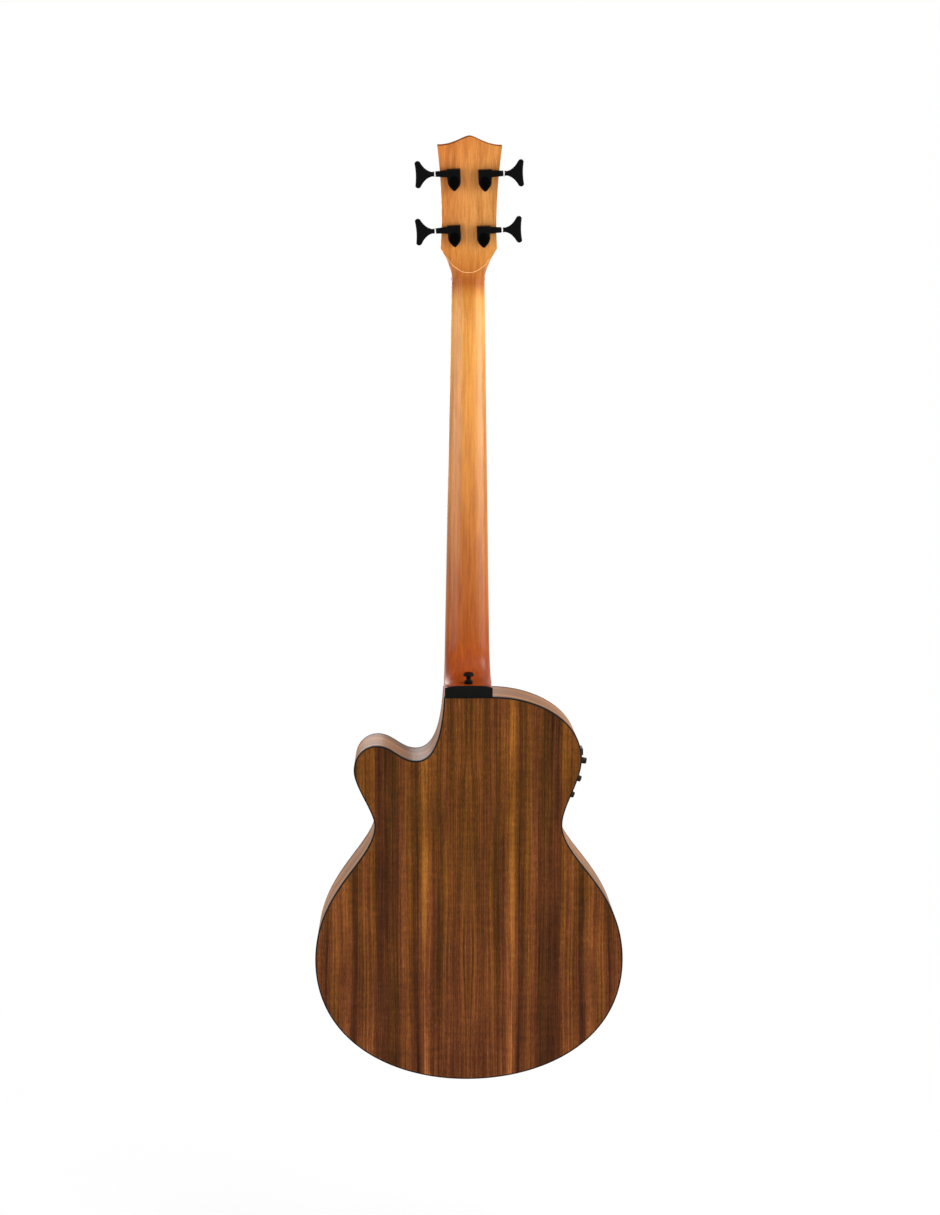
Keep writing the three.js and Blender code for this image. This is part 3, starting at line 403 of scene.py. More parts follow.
def mahogany(name, light, dark, heel, rough, specular):
    """An orange-brown wood with soft streaks and short pores; with a heel tint it gets the neck's colours and
    gloss by place, painted shade among them.
    """
    n = Look(name)
    x, y, z = n.place()
    broad = n.grain((x, 0.06), (y, 0.03), (z, 0.008), 3.0, 0.6, 0.3)
    streaks = n.grain((x, 0.30), (y, 0.07), (z, 0.009), 3.0, 0.6)
    grain = n.grain((x, 0.95), (y, 0.22), (z, 0.028), 4.0, 0.70)
    tone = n.layered(broad, ((streaks, 1.0), (grain, 1.05)))
    colour = n.ramp(tone, [(0.16, dark), (0.78, light)])
    pores = n.span(n.grain((x, 2.4), (y, 0.8), (z, 0.20), 2.0, 0.6), 0.54, 0.70)
    colour = n.tinted(colour, n.times(pores, 0.34), (0.52, 0.36, 0.26))
    gloss = specular
    if heel:
        colour, gloss = neck_colour_gloss_and_painted_shade(n, colour, x, z, heel, specular)
    n.bump(n.minus(n.times(grain, 0.3), pores), 0.14, 0.1)
    return n.surface(colour, n.span(grain, 0.2, 0.8, rough - 0.04, rough + 0.06), gloss)


def neck_colour_gloss_and_painted_shade(n, colour, x, z, heel, specular):
    """The neck's colour and gloss by place, from the heel to the end grain at the top of the head, with
    painted shade in the volute and towards the head's treble edge.
    """
    upright = n.span(n.apart(n.add("NewGeometry").outputs["Normal"])["Z"], 0.25, 0.45)
    end_grain = n.times(upright, n.span(z, 100.0, 120.0))
    tints = [
        (n.span(z, -60.0, -522.0), heel),
        (n.span(z, 60.0, 0.0), (0.87, 0.93, 0.476)),  # the neck
        (n.span(z, 0.0, 60.0), (0.80, 0.89, 0.85)),  # the head
        (n.span(z, 105.0, 170.0), (0.97, 0.85, 0.75)),  # the top of the head
        (n.times(n.span(z, 40.0, 0.0), n.span(z, -25.0, -4.0)), (0.62, 0.40, 0.26)),  # painted shade: the volute's hollow under the head is darkened where shade falls
        (n.times(n.span(x, -36.0, 36.0), n.span(z, 0.0, 40.0)), (0.94, 0.78, 0.70)),  # painted shade: the head darkens towards its treble edge, where less light falls
        (end_grain, (0.50, 0.40, 0.32)),
    ]
    for share, tint in tints:
        colour = n.tinted(colour, share, tint)
    on_neck = n.times(n.span(z, -5.0, -50.0, 0.35, 1.0), n.span(z, -200.0, -470.0, 1.0, 0.36))
    return colour, n.times(n.minus(1.0, end_grain), n.times(on_neck, specular))


def plain_wood(name, light, dark, rough, pitch, specular):
    """A straight-grained wood with rings across x and y, pitch of them for each millimetre."""
    n = Look(name)
    x, y, z = n.place()
    wander = n.grain((x, 0.02), (y, 0.02), (z, 0.004), 2.0)
    across = n.plus(n.plus(x, n.times(y, 0.6)), n.times(wander, 14.0))
    ring = n.grain((across, pitch), 0.0, (z, 0.0015), 3.0, 0.7)
    fibre = n.grain((x, 2.2), (y, 2.2), (z, 0.05), 3.0, 0.7)
    colour = n.ramp(n.layered(ring, ((fibre, 0.5),)), [(0.25, dark), (0.72, light)])
    n.bump(fibre, 0.15, 0.08)
    return n.surface(colour, n.span(fibre, 0.2, 0.8, rough - 0.05, rough + 0.06), specular)


def moulded(name, colour, rough, specular, texture=0.9, metallic=0.0):
    """Plastic or plated metal with a fine surface texture and faint wear in its gloss."""
    n = Look(name)
    place = n.coordinates()
    fine = n.noise(place, 1400.0 * texture, 3.0)
    cloud = n.noise(place, 90.0, 3.0)
    low = tuple(c * 0.86 for c in colour)
    high = tuple(min(1.0, c * 1.12) for c in colour)
    gloss = n.plus(n.span(cloud, 0.3, 0.7, rough - 0.04, rough + 0.05), n.span(fine, 0.3, 0.7, -0.03, 0.03))
    n.bump(fine, 0.08, 0.03)
    return n.surface(n.ramp(cloud, [(0.3, low), (0.7, high)]), gloss, specular, metallic)


def wound_metal(name, colour, rough, turns_per_mm=2.6):
    """A string's winding: fine turns square to its length."""
    n = Look(name)
    x, y, z = n.place()
    ridge = n.span(n.maths("SINE", n.times(z, turns_per_mm * TURN)), -1.0, 1.0)
    cloud = n.noise(n.join(x, y, n.times(z, 0.05)), 0.4, 2.0)
    # painted shade: the grooves between the turns are darker than their crowns
    tint = n.blend("MIX", ridge, tuple(c * 0.55 for c in colour), colour)
    tint = n.tinted(tint, n.times(cloud, 0.3), (0.6, 0.5, 0.42))
    n.bump(ridge, 0.5, 0.12)
    return n.surface(tint, n.span(cloud, 0.3, 0.7, rough, rough + 0.1), 0.5, metallic=1.0)


koa_back = striped_wood("koa_back", True, 0.06, 0.46)
# the last number is the sides' share of painted sheen
koa_side = striped_wood("koa_side", False, 0.04, 0.44, 0.24)
HEEL_TINT = (0.43, 0.150, 0.022)
neck_wood = mahogany("mahogany_neck", (0.83, 0.335, 0.088), (0.49, 0.155, 0.027), HEEL_TINT, 0.34, 0.60)
# painted highlight: a lighter mahogany for the head's ridge, which stands in for the light that its rounded
# edge catches
painted_highlight_wood = mahogany("mahogany_painted_highlight", (0.92, 0.52, 0.22), (0.70, 0.34, 0.12), None, 0.3, 0.4)
block_wood = mahogany("mahogany_block", (0.40, 0.19, 0.08), (0.26, 0.11, 0.045), None, 0.7, 0.2)
top_wood = plain_wood("spruce_top", (0.78, 0.52, 0.26), (0.60, 0.36, 0.15), 0.36, 0.75, 0.4)
brace_wood = plain_wood("brace_spruce", (0.72, 0.54, 0.32), (0.56, 0.38, 0.2), 0.75, 0.6, 0.2)
dark_wood = plain_wood("rosewood", (0.070, 0.032, 0.017), (0.024, 0.012, 0.007), 0.5, 0.35, 0.2)
black_plastic = moulded("black_plastic", (0.0045, 0.0045, 0.0045), 0.42, 0.12)
heel_black = moulded("black_cap", (0.0034, 0.0034, 0.0032), 0.5, 0.05)
black_binding = moulded("black_binding", (0.004, 0.0038, 0.0036), 0.4, 0.08)
black_metal = moulded("black_metal", (0.0018, 0.0018, 0.0019), 0.30, 0.045, 0.5)
black_gloss = moulded("black_gloss", (0.0006, 0.0006, 0.0007), 0.16, 0.02, 0.3)
white_plastic = moulded("white_plastic", (0.66, 0.66, 0.64), 0.4, 0.3)
bone_white = moulded("bone", (0.80, 0.74, 0.60), 0.3, 0.5, 0.6)
pearl = moulded("pearl", (0.74, 0.75, 0.72), 0.2, 0.6, 0.5)
steel = moulded("steel", (0.55, 0.54, 0.52), 0.26, 0.5, 0.6, metallic=1.0)
fret_steel = moulded("fret_steel", (0.66, 0.65, 0.62), 0.18, 0.5, 0.4, metallic=1.0)
bronze = wound_metal("bronze_winding", (0.62, 0.42, 0.22), 0.3)
rosette_red = moulded("rosette_brown", (0.18, 0.07, 0.03), 0.35, 0.4)

# The part's material slots and the looks that go into them
SLOTS = {
    "koa": (koa_back, koa_side),
    "mahogany": (neck_wood, painted_highlight_wood),
    "spruce": (top_wood,),
    "dark_wood": (dark_wood,),
    "black_plastic": (black_plastic, heel_black, black_binding, rosette_red),
    "black_metal": (black_metal, black_gloss, steel),
    "white_plastic": (white_plastic, pearl),
    "bone": (bone_white,),
    "steel": (fret_steel,),
    "bronze": (bronze,),
}
slot_of = {look.name: slot for slot, looks in SLOTS.items() for look in looks}


# Meshes: a shape is a pair of points and faces, in millimetres
def solid(name, shape, material, matrix=None, sharp=32):
    """Makes one closed mesh with its faces turned outwards."""
    verts, faces = shape
    mesh = bpy.data.meshes.new(name)
    points = [Vector(v) for v in verts]
    if matrix is not None:
        points = [matrix @ p for p in points]
    mesh.from_pydata([p * MM for p in points], [], faces)
    bm = bmesh.new()
    bm.from_mesh(mesh)
    bmesh.ops.remove_doubles(bm, verts=bm.verts, dist=1e-6)
    bmesh.ops.recalc_face_normals(bm, faces=bm.faces)
    if bm.calc_volume(signed=True) < 0:
        bmesh.ops.reverse_faces(bm, faces=bm.faces)
    bm.to_mesh(mesh)
    bm.free()
    mesh.materials.append(material)
    smooth(mesh, sharp)
    return placed(name, mesh)


def enlist(obj, replaces=None, body="guitar", slot=None, sharp=None):
    if sharp:
        smooth(obj.data, sharp)
    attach(obj, body)
    slot or slot_of[obj.data.materials[0].name]
    if replaces:
        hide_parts(replaces)


def piece(name, shape, material, replaces=None, body="guitar", slot=None, matrix=None, sharp=32):
    enlist(solid(name, shape, material, matrix, sharp), replaces, body, slot)


def smooth(mesh, sharp):
    mesh.polygons.foreach_set("use_smooth", [True] * len(mesh.polygons))
    mesh.set_sharp_from_angle(angle=radians(sharp))
    mesh.update()


def settle(obj):
    """Applies an object's modifiers to its mesh."""
    depsgraph = bpy.context.evaluated_depsgraph_get()
    done = bpy.data.meshes.new_from_object(obj.evaluated_get(depsgraph))
    old = obj.data
    obj.modifiers.clear()
    obj.data = done
    bpy.data.meshes.remove(old)


def combine(obj, other, operation):
    """Joins or intersects a mesh with another, or takes the other away from it, and removes the other."""
    step = obj.modifiers.new("bool", "BOOLEAN")
    step.operation = operation
    step.solver = "EXACT"
    step.object = other
    settle(obj)
    bpy.data.objects.remove(other)


def cut(obj, shape, matrix=None):
    combine(obj, solid("cut", shape, obj.data.materials[0], matrix), "DIFFERENCE")


def soften(obj, width, angle):
    """Rounds the edges that are sharper than angle degrees."""
    step = obj.modifiers.new("bevel", "BEVEL")
    step.width = width * MM
    step.segments = 2
    step.limit_method = "ANGLE"
    step.angle_limit = radians(angle)
    settle(obj)
    smooth(obj.data, 32)


def ring_faces(rows, n, closed):
    """Faces between rows of n points; a closed form's last row meets its first."""
    faces = []
    for i in range(rows if closed else rows - 1):
        a, b = i * n, ((i + 1) % rows) * n
        faces += [(a + k, b + k, b + (k + 1) % n, a + (k + 1) % n) for k in range(n)]
    return faces


def loft(sections, ring=False):
    n = len(sections[0])
    verts = [p for s in sections for p in s]
    faces = ring_faces(len(sections), n, ring)
    if not ring:
        start = (len(sections) - 1) * n
        faces += [tuple(range(n))[::-1], tuple(range(start, start + n))]
    return verts, faces


def circle(radius, count, height=0.0):
    """Points round the Y axis at a height along it."""
    angles = [TURN * k / count for k in range(count)]
    return [(radius * cos(a), height, radius * sin(a)) for a in angles]


# Turns points about the Y axis into points about the named one
AXES = {"x": lambda x, y, z: (y, x, z), "y": lambda x, y, z: (x, y, z), "z": lambda x, y, z: (x, -z, y)}


def turned(profile, segments=48, axis="y", inner=False):
    """A lathe shape about an axis from (radius, height) pairs; an inner one closes on itself."""
    place = AXES[axis]
    verts = [place(*p) for radius, height in profile for p in circle(radius, segments, height)]
    faces = ring_faces(len(profile), segments, inner)
    if not inner:
        start = (len(profile) - 1) * segments
        faces += [tuple(range(segments)), tuple(range(start, start + segments))[::-1]]
    return verts, faces


def slab(outline, y0, y1, bevel=0.0, steps=3):
    """A flat shape in x and z with thickness from y0 to y1, its edges rounded by bevel."""
    rows = [(y0, 0.0)]
    if bevel:
        angles = [pi / 2 * i / steps for i in range(steps + 1)]
        rows = [(y0 + bevel * (1 - sin(a)), bevel * (1 - cos(a))) for a in angles]
    rows = rows[::-1] + [(y0 + y1 - y, inset) for y, inset in rows]
    rows.sort(key=lambda r: r[0])
    inset_of = offset_outline(outline)
    return loft([[(x, y, z) for x, z in inset_of(inset)] for y, inset in rows])


def offset_outline(outline):
    """Returns a function that draws the outline in by a distance, towards its own inside."""
    n = len(outline)
    pairs = [(outline[i], outline[(i + 1) % n]) for i in range(n)]
    turn = 1 if sum(p[0] * q[1] - q[0] * p[1] for p, q in pairs) > 0 else -1
    inward = []
    for i in range(n):
        before = (Vector(outline[i]) - Vector(outline[i - 1])).normalized()
        after = (Vector(outline[(i + 1) % n]) - Vector(outline[i])).normalized()
        n1 = Vector((-before.y, before.x)) * turn
        n2 = Vector((-after.y, after.x)) * turn
        inward.append((n1 + n2) / max(0.3, 1 + n1.dot(n2)))
    return lambda d: [(p[0] + v.x * d, p[1] + v.y * d) for p, v in zip(outline, inward)]


def box(x0, x1, y0, y1, z0, z1):
    return slab([(x0, z0), (x1, z0), (x1, z1), (x0, z1)], y0, y1)


def moved(shape, x=0, y=0, z=0):
    verts, faces = shape
    return [(vx + x, vy + y, vz + z) for vx, vy, vz in verts], faces


def stood_up(shape):
    """Turns a slab's outline from x and z to x and -y."""
    verts, faces = shape
    return [(x, -z, y) for x, y, z in verts], faces


def bezier(p0, p1, p2, p3, t):
    w = ((1 - t) ** 3, 3 * t * (1 - t) ** 2, 3 * t * t * (1 - t), t**3)
    return tuple(sum(wi * p[k] for wi, p in zip(w, (p0, p1, p2, p3))) for k in range(len(p0)))


def outline_of(start, moves, steps=12):
    """A list of points from a start and moves: a number pair is a line, two or three pairs a curve."""
    points = [start]
    for move in moves:
        if isinstance(move[0], (int, float)):
            points.append(move)
            continue
        p0 = points[-1]
        if len(move) == 2:
            c, end = move
            c1 = tuple(p0[k] + (c[k] - p0[k]) * 2 / 3 for k in range(2))
            c2 = tuple(end[k] + (c[k] - end[k]) * 2 / 3 for k in range(2))
        else:
            c1, c2, end = move
        points += [bezier(p0, c1, c2, end, (i + 1) / steps) for i in range(steps)]
    if dist(points[0], points[-1]) < 1e-6:
        points.pop()
    return points


def mirrored(half, axis=0):
    """Adds the other half of an outline, mirrored in x, or in z with axis 1."""
    other = [tuple(-v if k == axis else v for k, v in enumerate(p)) for p in half[::-1]]
    return half + [p for p in other if p[axis]]


def rounded(half_x, half_z, radius, steps=6):
    """A rectangle with rounded corners."""
    corners = [Vector((x * half_x, z * half_z)) for x, z in ((-1, -1), (1, -1), (1, 1), (-1, 1))]
    points = []
    for i, c in enumerate(corners):
        a = (corners[i - 1] - c).normalized() * radius + c
        b = (corners[(i + 1) % 4] - c).normalized() * radius + c
        for k in range(steps + 1):
            t = k / steps
            points.append(tuple(a * (1 - t) ** 2 + c * 2 * t * (1 - t) + b * t * t))
    return points


def tube(path, sides):
    """A round rod along a path of (point, radius) pairs."""
    sections = []
    pts = [Vector(p) for p, _ in path]
    across = None
    for i, p in enumerate(pts):
        tangent = (pts[min(i + 1, len(pts) - 1)] - pts[max(i - 1, 0)]).normalized()
        if across is None:
            across = Vector((1, 0, 0)) if abs(tangent.x) < 0.9 else Vector((0, 1, 0))
        across = (across - tangent * across.dot(tangent)).normalized()
        up = tangent.cross(across)
        angles = [TURN * k / sides for k in range(sides)]
        sections.append([p + (across * cos(a) + up * sin(a)) * path[i][1] for a in angles])
    return loft(sections)


def around(rows, i):
    """The rows before, at and after an interval's start, where the ends repeat."""
    return [rows[max(0, min(len(rows) - 1, i + k))] for k in (-1, 0, 1, 2)]


def curve_through(stations, steps):
    """Smooth values between stations by a Catmull-Rom curve that keeps to each interval's own span."""
    out = []
    for i in range(len(stations) - 1):
        p = around(stations, i)
        z0, z1, z2, z3 = (q[0] for q in p)
        for s in range(steps):
            t = s / steps
            h = (2 * t**3 - 3 * t**2 + 1, t**3 - 2 * t**2 + t, -2 * t**3 + 3 * t**2, t**3 - t**2)
            row = []
            for before, a, b, after in zip(*p):
                m1 = (b - before) / (z2 - z0) * (z2 - z1)
                m2 = (after - a) / (z3 - z1) * (z2 - z1)
                value = h[0] * a + h[1] * m1 + h[2] * b + h[3] * m2
                row.append(min(max(value, min(a, b)), max(a, b)))
            out.append(tuple(row))
    out.append(stations[-1])
    return out


def curve_between(rows, steps):
    """Points on a Catmull-Rom curve through rows of numbers, evenly timed."""
    out = []
    for i in range(len(rows) - 1):
        p = around(rows, i)
        for s in range(steps):
            t = s / steps
            w = (-t + 2 * t**2 - t**3, 2 - 5 * t**2 + 3 * t**3, t + 4 * t**2 - 3 * t**3, -(t**2) + t**3)
            out.append(tuple(sum(wk * value for wk, value in zip(w, column)) / 2 for column in zip(*p)))
    out.append(rows[-1])
    return out


# The body
# The outline from the tail up the treble side and down the bass side: each curve's controls, end and steps
BODY_EDGE = [
    ((104, TAIL), (LOWER, -991), (LOWER, -885), 44),
    ((LOWER, -791), (WAIST, -752), (WAIST, WAIST_Z), 40),
    ((WAIST, -687), (HORN, -654), (HORN, -633), 18),
    ((HORN, -614.5), (136.5, HORN_TOP), (119.5, HORN_TOP), 14),
    ((98.7, HORN_TOP), (89.4, CUTAWAY_FLOOR), (68.5, CUTAWAY_FLOOR), 14),
    ((43, CUTAWAY_FLOOR), (34.9, -584), (32, BODY_TOP), 20),
    ((22, BODY_TOP), (22, BODY_TOP), (12, BODY_TOP), 2),
    ((4, BODY_TOP), (-4, BODY_TOP), (-12, BODY_TOP), 2),
    ((-20, BODY_TOP), (-20, BODY_TOP), (-31, BODY_TOP), 2),
    ((-87.8, BODY_TOP), (-UPPER, -565.3), (-UPPER, UPPER_WIDEST), 30),
    ((-UPPER, -648), (-WAIST, -680.5), (-WAIST, WAIST_Z), 20),
    ((-WAIST, -752), (-LOWER_BASS, -789), (-LOWER_BASS, -887), 40),
    ((-LOWER_BASS, -993), (-106, TAIL), (0, TAIL), 44),
]
TREBLE_END, BASS_START = 7, 8  # the curves at which the sides meet the neck's block
UPPER_BASS = 9
# The opening in the bass side for the preamp's case, along a chord between two heights
CASE_Y = (28, 58)
CASE_Z = (-615, -680)
CASE_HALF = 31.5
rim_curves, rim_starts, rim_points = [], [], []
corner = (0, TAIL)
for c1, c2, end, steps in BODY_EDGE:
    curve = (corner, c1, c2, end)
    rim_curves.append(curve)
    rim_starts.append(len(rim_points))
    rim_points += [bezier(*curve, i / steps) for i in range(steps)]
    corner = end
rim_at = offset_outline(rim_points)


def over_top(depth):
    return lambda x, z: depth


def under_back(depth):
    return lambda x, z: back_at(x, z) - depth


def rim_sections(corners, start=0, stop=None):
    """Sections across the rim from (offset, height) corners, whose height is a function of x and z."""
    count = len(rim_points)
    rows = [[(x, height(x, z), z) for x, z in rim_at(offset)] for offset, height in corners]
    return [[row[i % count] for row in rows] for i in range(start, stop or count)]


def make_back():
    """The back plate in rings about a centre, outer face and inner face."""
    middle = -800
    shares = [0, 0.1, 0.24, 0.38, 0.52, 0.66, 0.78, 0.88, 0.95, 0.985, 1]
    sections = []
    for share, depth in [(s, 0) for s in shares] + [(s, PLATE) for s in shares[::-1]]:
        ring = [(x * share, middle + (z - middle) * share) for x, z in rim_at(BINDING_WIDTH)]
        sections.append([(x, back_at(x, z) - depth, z) for x, z in ring])
    piece("back", loft(sections), koa_back, "back_plate")


def make_soundboard():
    board = solid("soundboard_fine", slab(rim_at(BINDING_WIDTH), 0, PLATE), top_wood)
    cut(board, turned([(HOLE_RADIUS, -5), (HOLE_RADIUS, 8)], 128), Matrix.Translation((0, 0, HOLE_Z)))
    soften(board, 0.35, 50)
    enlist(board, "soundboard")
    # The rosette: inlaid rings that stand level with the top
    low, high = -0.06, 0.6
    rings = [(53, 54), (54, 60), (60, 61), (64, 64.8)]
    for i, (inner, outer) in enumerate(rings):
        ring = turned([(inner, low), (outer, low), (outer, high), (inner, high)], 128, inner=True)
        look = rosette_red if i == 1 else black_binding
        piece("rosette_%d" % (i + 1), moved(ring, z=HOLE_Z), look)


def make_bindings():
    """Black strips along both edges of the body, rounded at the outer corner."""
    r = 0.9
    arc = [(r * (1 - sin(a)), r * (1 - cos(a))) for a in (pi / 2 * i / 4 for i in range(5))]
    corners = arc + [(BINDING_WIDTH, 0), (BINDING_WIDTH, BINDING_HEIGHT), (0, BINDING_HEIGHT)]
    for node, height in (("top_binding", over_top), ("back_binding", under_back)):
        sections = rim_sections([(offset, height(depth)) for offset, depth in corners])
        piece(node + "_fine", loft(sections, ring=True), black_binding, node, sharp=50)


def make_sides():
    """The sides with the linings inside them, and the opening for the preamp's case."""
    inner = RIB + LINING
    half = [
        (0, BINDING_HEIGHT), (BINDING_WIDTH, BINDING_HEIGHT), (BINDING_WIDTH, PLATE), (inner, PLATE),
        (inner, PLATE + 5), (RIB, PLATE + LINING_HEIGHT),
    ]
    corners = [(offset, over_top(depth)) for offset, depth in half]
    corners += [(offset, under_back(depth)) for offset, depth in half[::-1]]
    treble = rim_sections(corners, 0, rim_starts[TREBLE_END] + 1)
    piece("treble_side_fine", loft(treble), koa_side, "treble_side", sharp=40)
    sections = rim_sections(corners, rim_starts[BASS_START], len(rim_points) + 1)
    bass = solid("bass_side_fine", loft(sections), koa_side)
    a, b = (bass_side(z)[0] for z in CASE_Z)
    turn = Matrix.Rotation(atan2(a[0] - b[0], a[1] - b[1]), 4, "Y")
    middle = Matrix.Translation(((a[0] + b[0]) / 2, 0, (a[1] + b[1]) / 2))
    cut(bass, box(-12, 10, *CASE_Y, -CASE_HALF, CASE_HALF), middle @ turn)
    enlist(bass, "bass_side", sharp=40)


def bass_side(z):
    """The point of the bass side at height z, and the direction out of it."""
    curve = rim_curves[UPPER_BASS if z > UPPER_WIDEST else UPPER_BASS + 1]
    low, high = 0.0, 1.0
    for _ in range(40):
        t = (low + high) / 2
        if bezier(*curve, t)[1] > z:
            low = t
        else:
            high = t
    p = bezier(*curve, low)
    q = bezier(*curve, low + 1e-4)
    d = Vector((q[0] - p[0], q[1] - p[1])).normalized()
    return p, (d.y, -d.x)


# The neck
HEAD = Matrix.Translation((0, HEAD_BACK, 0)) @ Matrix.Rotation(-HEAD_ANGLE, 4, "X")
SHAFT_TOP = -30
SHAFT_DEPTH = 15.6
SHAFT_GAIN = 2.2  # how much deeper the shaft gets on its way to the heel
SHAFT_SQUARE = 2.3  # a section's squareness: 2 is an ellipse, and more is nearer to a rectangle
HEEL_SQUARE = 7
FLARE_FOOT = (5, 21.7, 18.6, 2.6)  # height, half width, depth and squareness
FLARE = [
    FLARE_FOOT, (9.2, 22.5, 20.6, 2.8), (13.9, 24, 23.5, 3), (19.8, 26.2, 26.9, 4.2), (25, 28.3, 30.4, 4.6),
    (30.6, 31.3, 36, 7), (36, 34.3, 40, 10), (39.5, 36.4, 44, 14), (46, 40.5, 48, 14),
]
RIDGE_TOP = 31
POST_HOLE = 5.6
HEAD_TIP = 180.3
HEAD_CORNER = (41, 169)
# Each string's post on the head, thickness, side, the machine's tilt in degrees, and its x at nut and saddle
Post = namedtuple("Post", "id x z gauge mirror skew nut saddle")
POSTS = [
    Post("e", -18.6, 55.8, 2.67, -1, 2.2, -17, -28.5),
    Post("a", -19.6, 126.6, 2.16, -1, 2.2, -5.7, -9.5),
    Post("d", 19.6, 127, 1.65, 1, 2.2, 5.7, 9.5),
    Post("g", 18.6, 56.4, 1.14, 1, 3.8, 17, 28.5),
]


def shaft_depth(z):
    return SHAFT_DEPTH + SHAFT_GAIN * (SHAFT_TOP - z) / (SHAFT_TOP - COVE_TOP)


def neck_section(z, half, depth, square, points=48):
    """Half a rounded section behind the fingerboard's plane."""
    section = [(half, 0, z)]
    for k in range(1, points):
        a = pi * k / points
        x = copysign(abs(cos(a)) ** (2 / square), cos(a))
        section.append((half * x, depth * sin(a) ** (2 / square), z))
    return section + [(-half, 0, z)]


def head_outline(bottom, inset=0.0):
    side = 36.4 - inset
    corner_x, corner_z = HEAD_CORNER[0] - inset, HEAD_CORNER[1] - inset
    shoulder, tip = 168.4 - inset, HEAD_TIP - inset
    moves = [
        (side, 40.5),
        ((32.1 - inset, 95), (corner_x, corner_z)),
        ((21, shoulder), (7.5, tip), (0, tip)),
    ]
    return mirrored(outline_of((side, bottom), moves, 24))


def on_head(x, z, y=0):
    return HEAD @ Matrix.Translation((x, y, z))


def drill_posts(obj):
    for p in POSTS:
        cut(obj, turned([(POST_HOLE, -30), (POST_HOLE, 5)]), on_head(p.x, p.z))


def keep_inside_flare(obj, sections, low):
    """Cuts the head's foot to the neck's flare, and leaves what is above it."""
    crop = solid("crop", loft(sections), obj.data.materials[0])
    block = solid("block", box(-60, 60, low, 90, 45, 230), obj.data.materials[0])
    combine(crop, block, "UNION")
    combine(obj, crop, "INTERSECT")


def make_neck():
    heel_depth = DEPTH_NECK - PLATE - GLUE
    cove_depth = shaft_depth(COVE_TOP)
    stations = [(BODY_TOP, 31.2, heel_depth, HEEL_SQUARE)]
    steps = 30
    for i in range(steps, 0, -1):
        share = i / steps
        a = share * pi / 2
        z = COVE_TOP - COVE_LENGTH * sin(a)
        depth = cove_depth + (heel_depth - cove_depth) * (1 - cos(a))
        stations.append((z, half_width(z) + 0.5 * share, depth, SHAFT_SQUARE + 4.7 * share))
    stations += [(z, half_width(z), shaft_depth(z), SHAFT_SQUARE) for z in range(COVE_TOP, SHAFT_TOP + 1, 10)]
    volute = [stations[-1], (-12, 21.7, 15.8, 2.3), (-4, 21.6, 16.5, 2.4), (1, 21.5, 17.2, 2.5)]
    full = curve_through(volute + FLARE, 7)
    joint = FLARE_FOOT[0]
    # The shaft and the head overlap by a hair, so that they join cleanly.
    shaft = stations + [s for s in full if SHAFT_TOP < s[0] < joint] + [(joint + 0.001, *FLARE_FOOT[1:])]
    flare = [(joint - 0.001, *FLARE_FOOT[1:])] + [s for s in full if s[0] > joint + 0.01]
    neck = solid("neck_fine", loft([neck_section(*s) for s in shaft]), neck_wood)
    head = solid("head_slab", slab(head_outline(-20), -HEAD_THICK, 0), neck_wood, HEAD)
    drill_posts(head)
    keep_inside_flare(head, [neck_section(*s) for s in flare], -40)
    combine(neck, head, "UNION")
    # The pocket of the truss rod's nut
    cut(neck, box(-6.5, 6.5, -30, -HEAD_THICK + 8, 3, 34), HEAD)
    enlist(neck, "neck", sharp=30)


def make_head_ridge():
    """The fine ridge where the flat back of the headstock meets the neck's hollow; its lighter wood is a
    painted highlight along the rounded edge.
    """
    slope = tan(HEAD_ANGLE)
    side = []
    for z, half, depth, square in curve_through(FLARE, 12):
        plane = HEAD_BACK + z * slope
        if z < RIDGE_TOP and plane < depth:
            s = (plane / depth) ** (square / 2)
            side.append((half * sqrt(1 - s * s) ** (2 / square), plane, z))
    foot = side[0][2] - 0.35
    path = side[::-1] + [(0, HEAD_BACK + foot * slope, foot)] + [(-x, y, z) for x, y, z in side]
    rod = []
    for x, y, z in curve_between(path[::2], 3):
        rise = (z - foot) / (RIDGE_TOP - foot)
        rod.append(((x, y - 0.12, z), 0.08 + 0.36 * max(0.0, 1 - rise**2)))
    piece("head_ridge", tube(rod, 10), painted_highlight_wood, sharp=60)


def make_headplate():
    back = -HEAD_THICK - GLUE - VENEER
    plate = slab(head_outline(1.8, 0.05), back, -HEAD_THICK - 0.05, 0.3, 2)
    sheet = solid("headplate_fine", plate, dark_wood, HEAD)
    flare = [(5, 21.65, 40, 2.6)]
    for z, half, depth, square in curve_through(FLARE, 5):
        if z > 5.01:
            flare.append((z, half - 0.05, depth + 20, square))
    keep_inside_flare(sheet, [[(x, y - 20, z) for x, y, z in neck_section(*s)] for s in flare], -60)
    drill_posts(sheet)
    enlist(sheet, "headplate", sharp=30)
    outline = mirrored(outline_of((9.5, 2.2), [(9.5, 24), ((9.5, 34), (0, 40))], 10))
    top = back - GLUE
    cover = slab(outline, top - 2, top + 0.25, 0.6, 3)
    piece("rod_cover_fine", cover, black_plastic, "truss_rod_cover", matrix=HEAD)
    outwards = Matrix.Rotation(pi, 4, "X")
    for i, (x, z) in enumerate(((0, 35), (-6, 6), (6, 6))):
        screw("cover_screw_%d" % (i + 1), on_head(x, z, top - 2) @ outwards, 1.5, steel)


def screw(name, matrix, radius, material):
    """A cross-head screw whose domed head stands along +Y of its matrix."""
    profile = [(radius, -0.4), (radius, 0.15), (radius * 0.9, 0.5), (radius * 0.6, 0.75), (0.01, 0.85)]
    head = solid(name, turned(profile, 32), material, matrix)
    arm, half = radius * 0.62, radius * 0.13
    for turn in (0, pi / 2):
        cut(head, box(-arm, arm, 0.25, 2, -half, half), matrix @ Matrix.Rotation(turn, 4, "Y"))
    enlist(head, sharp=30)


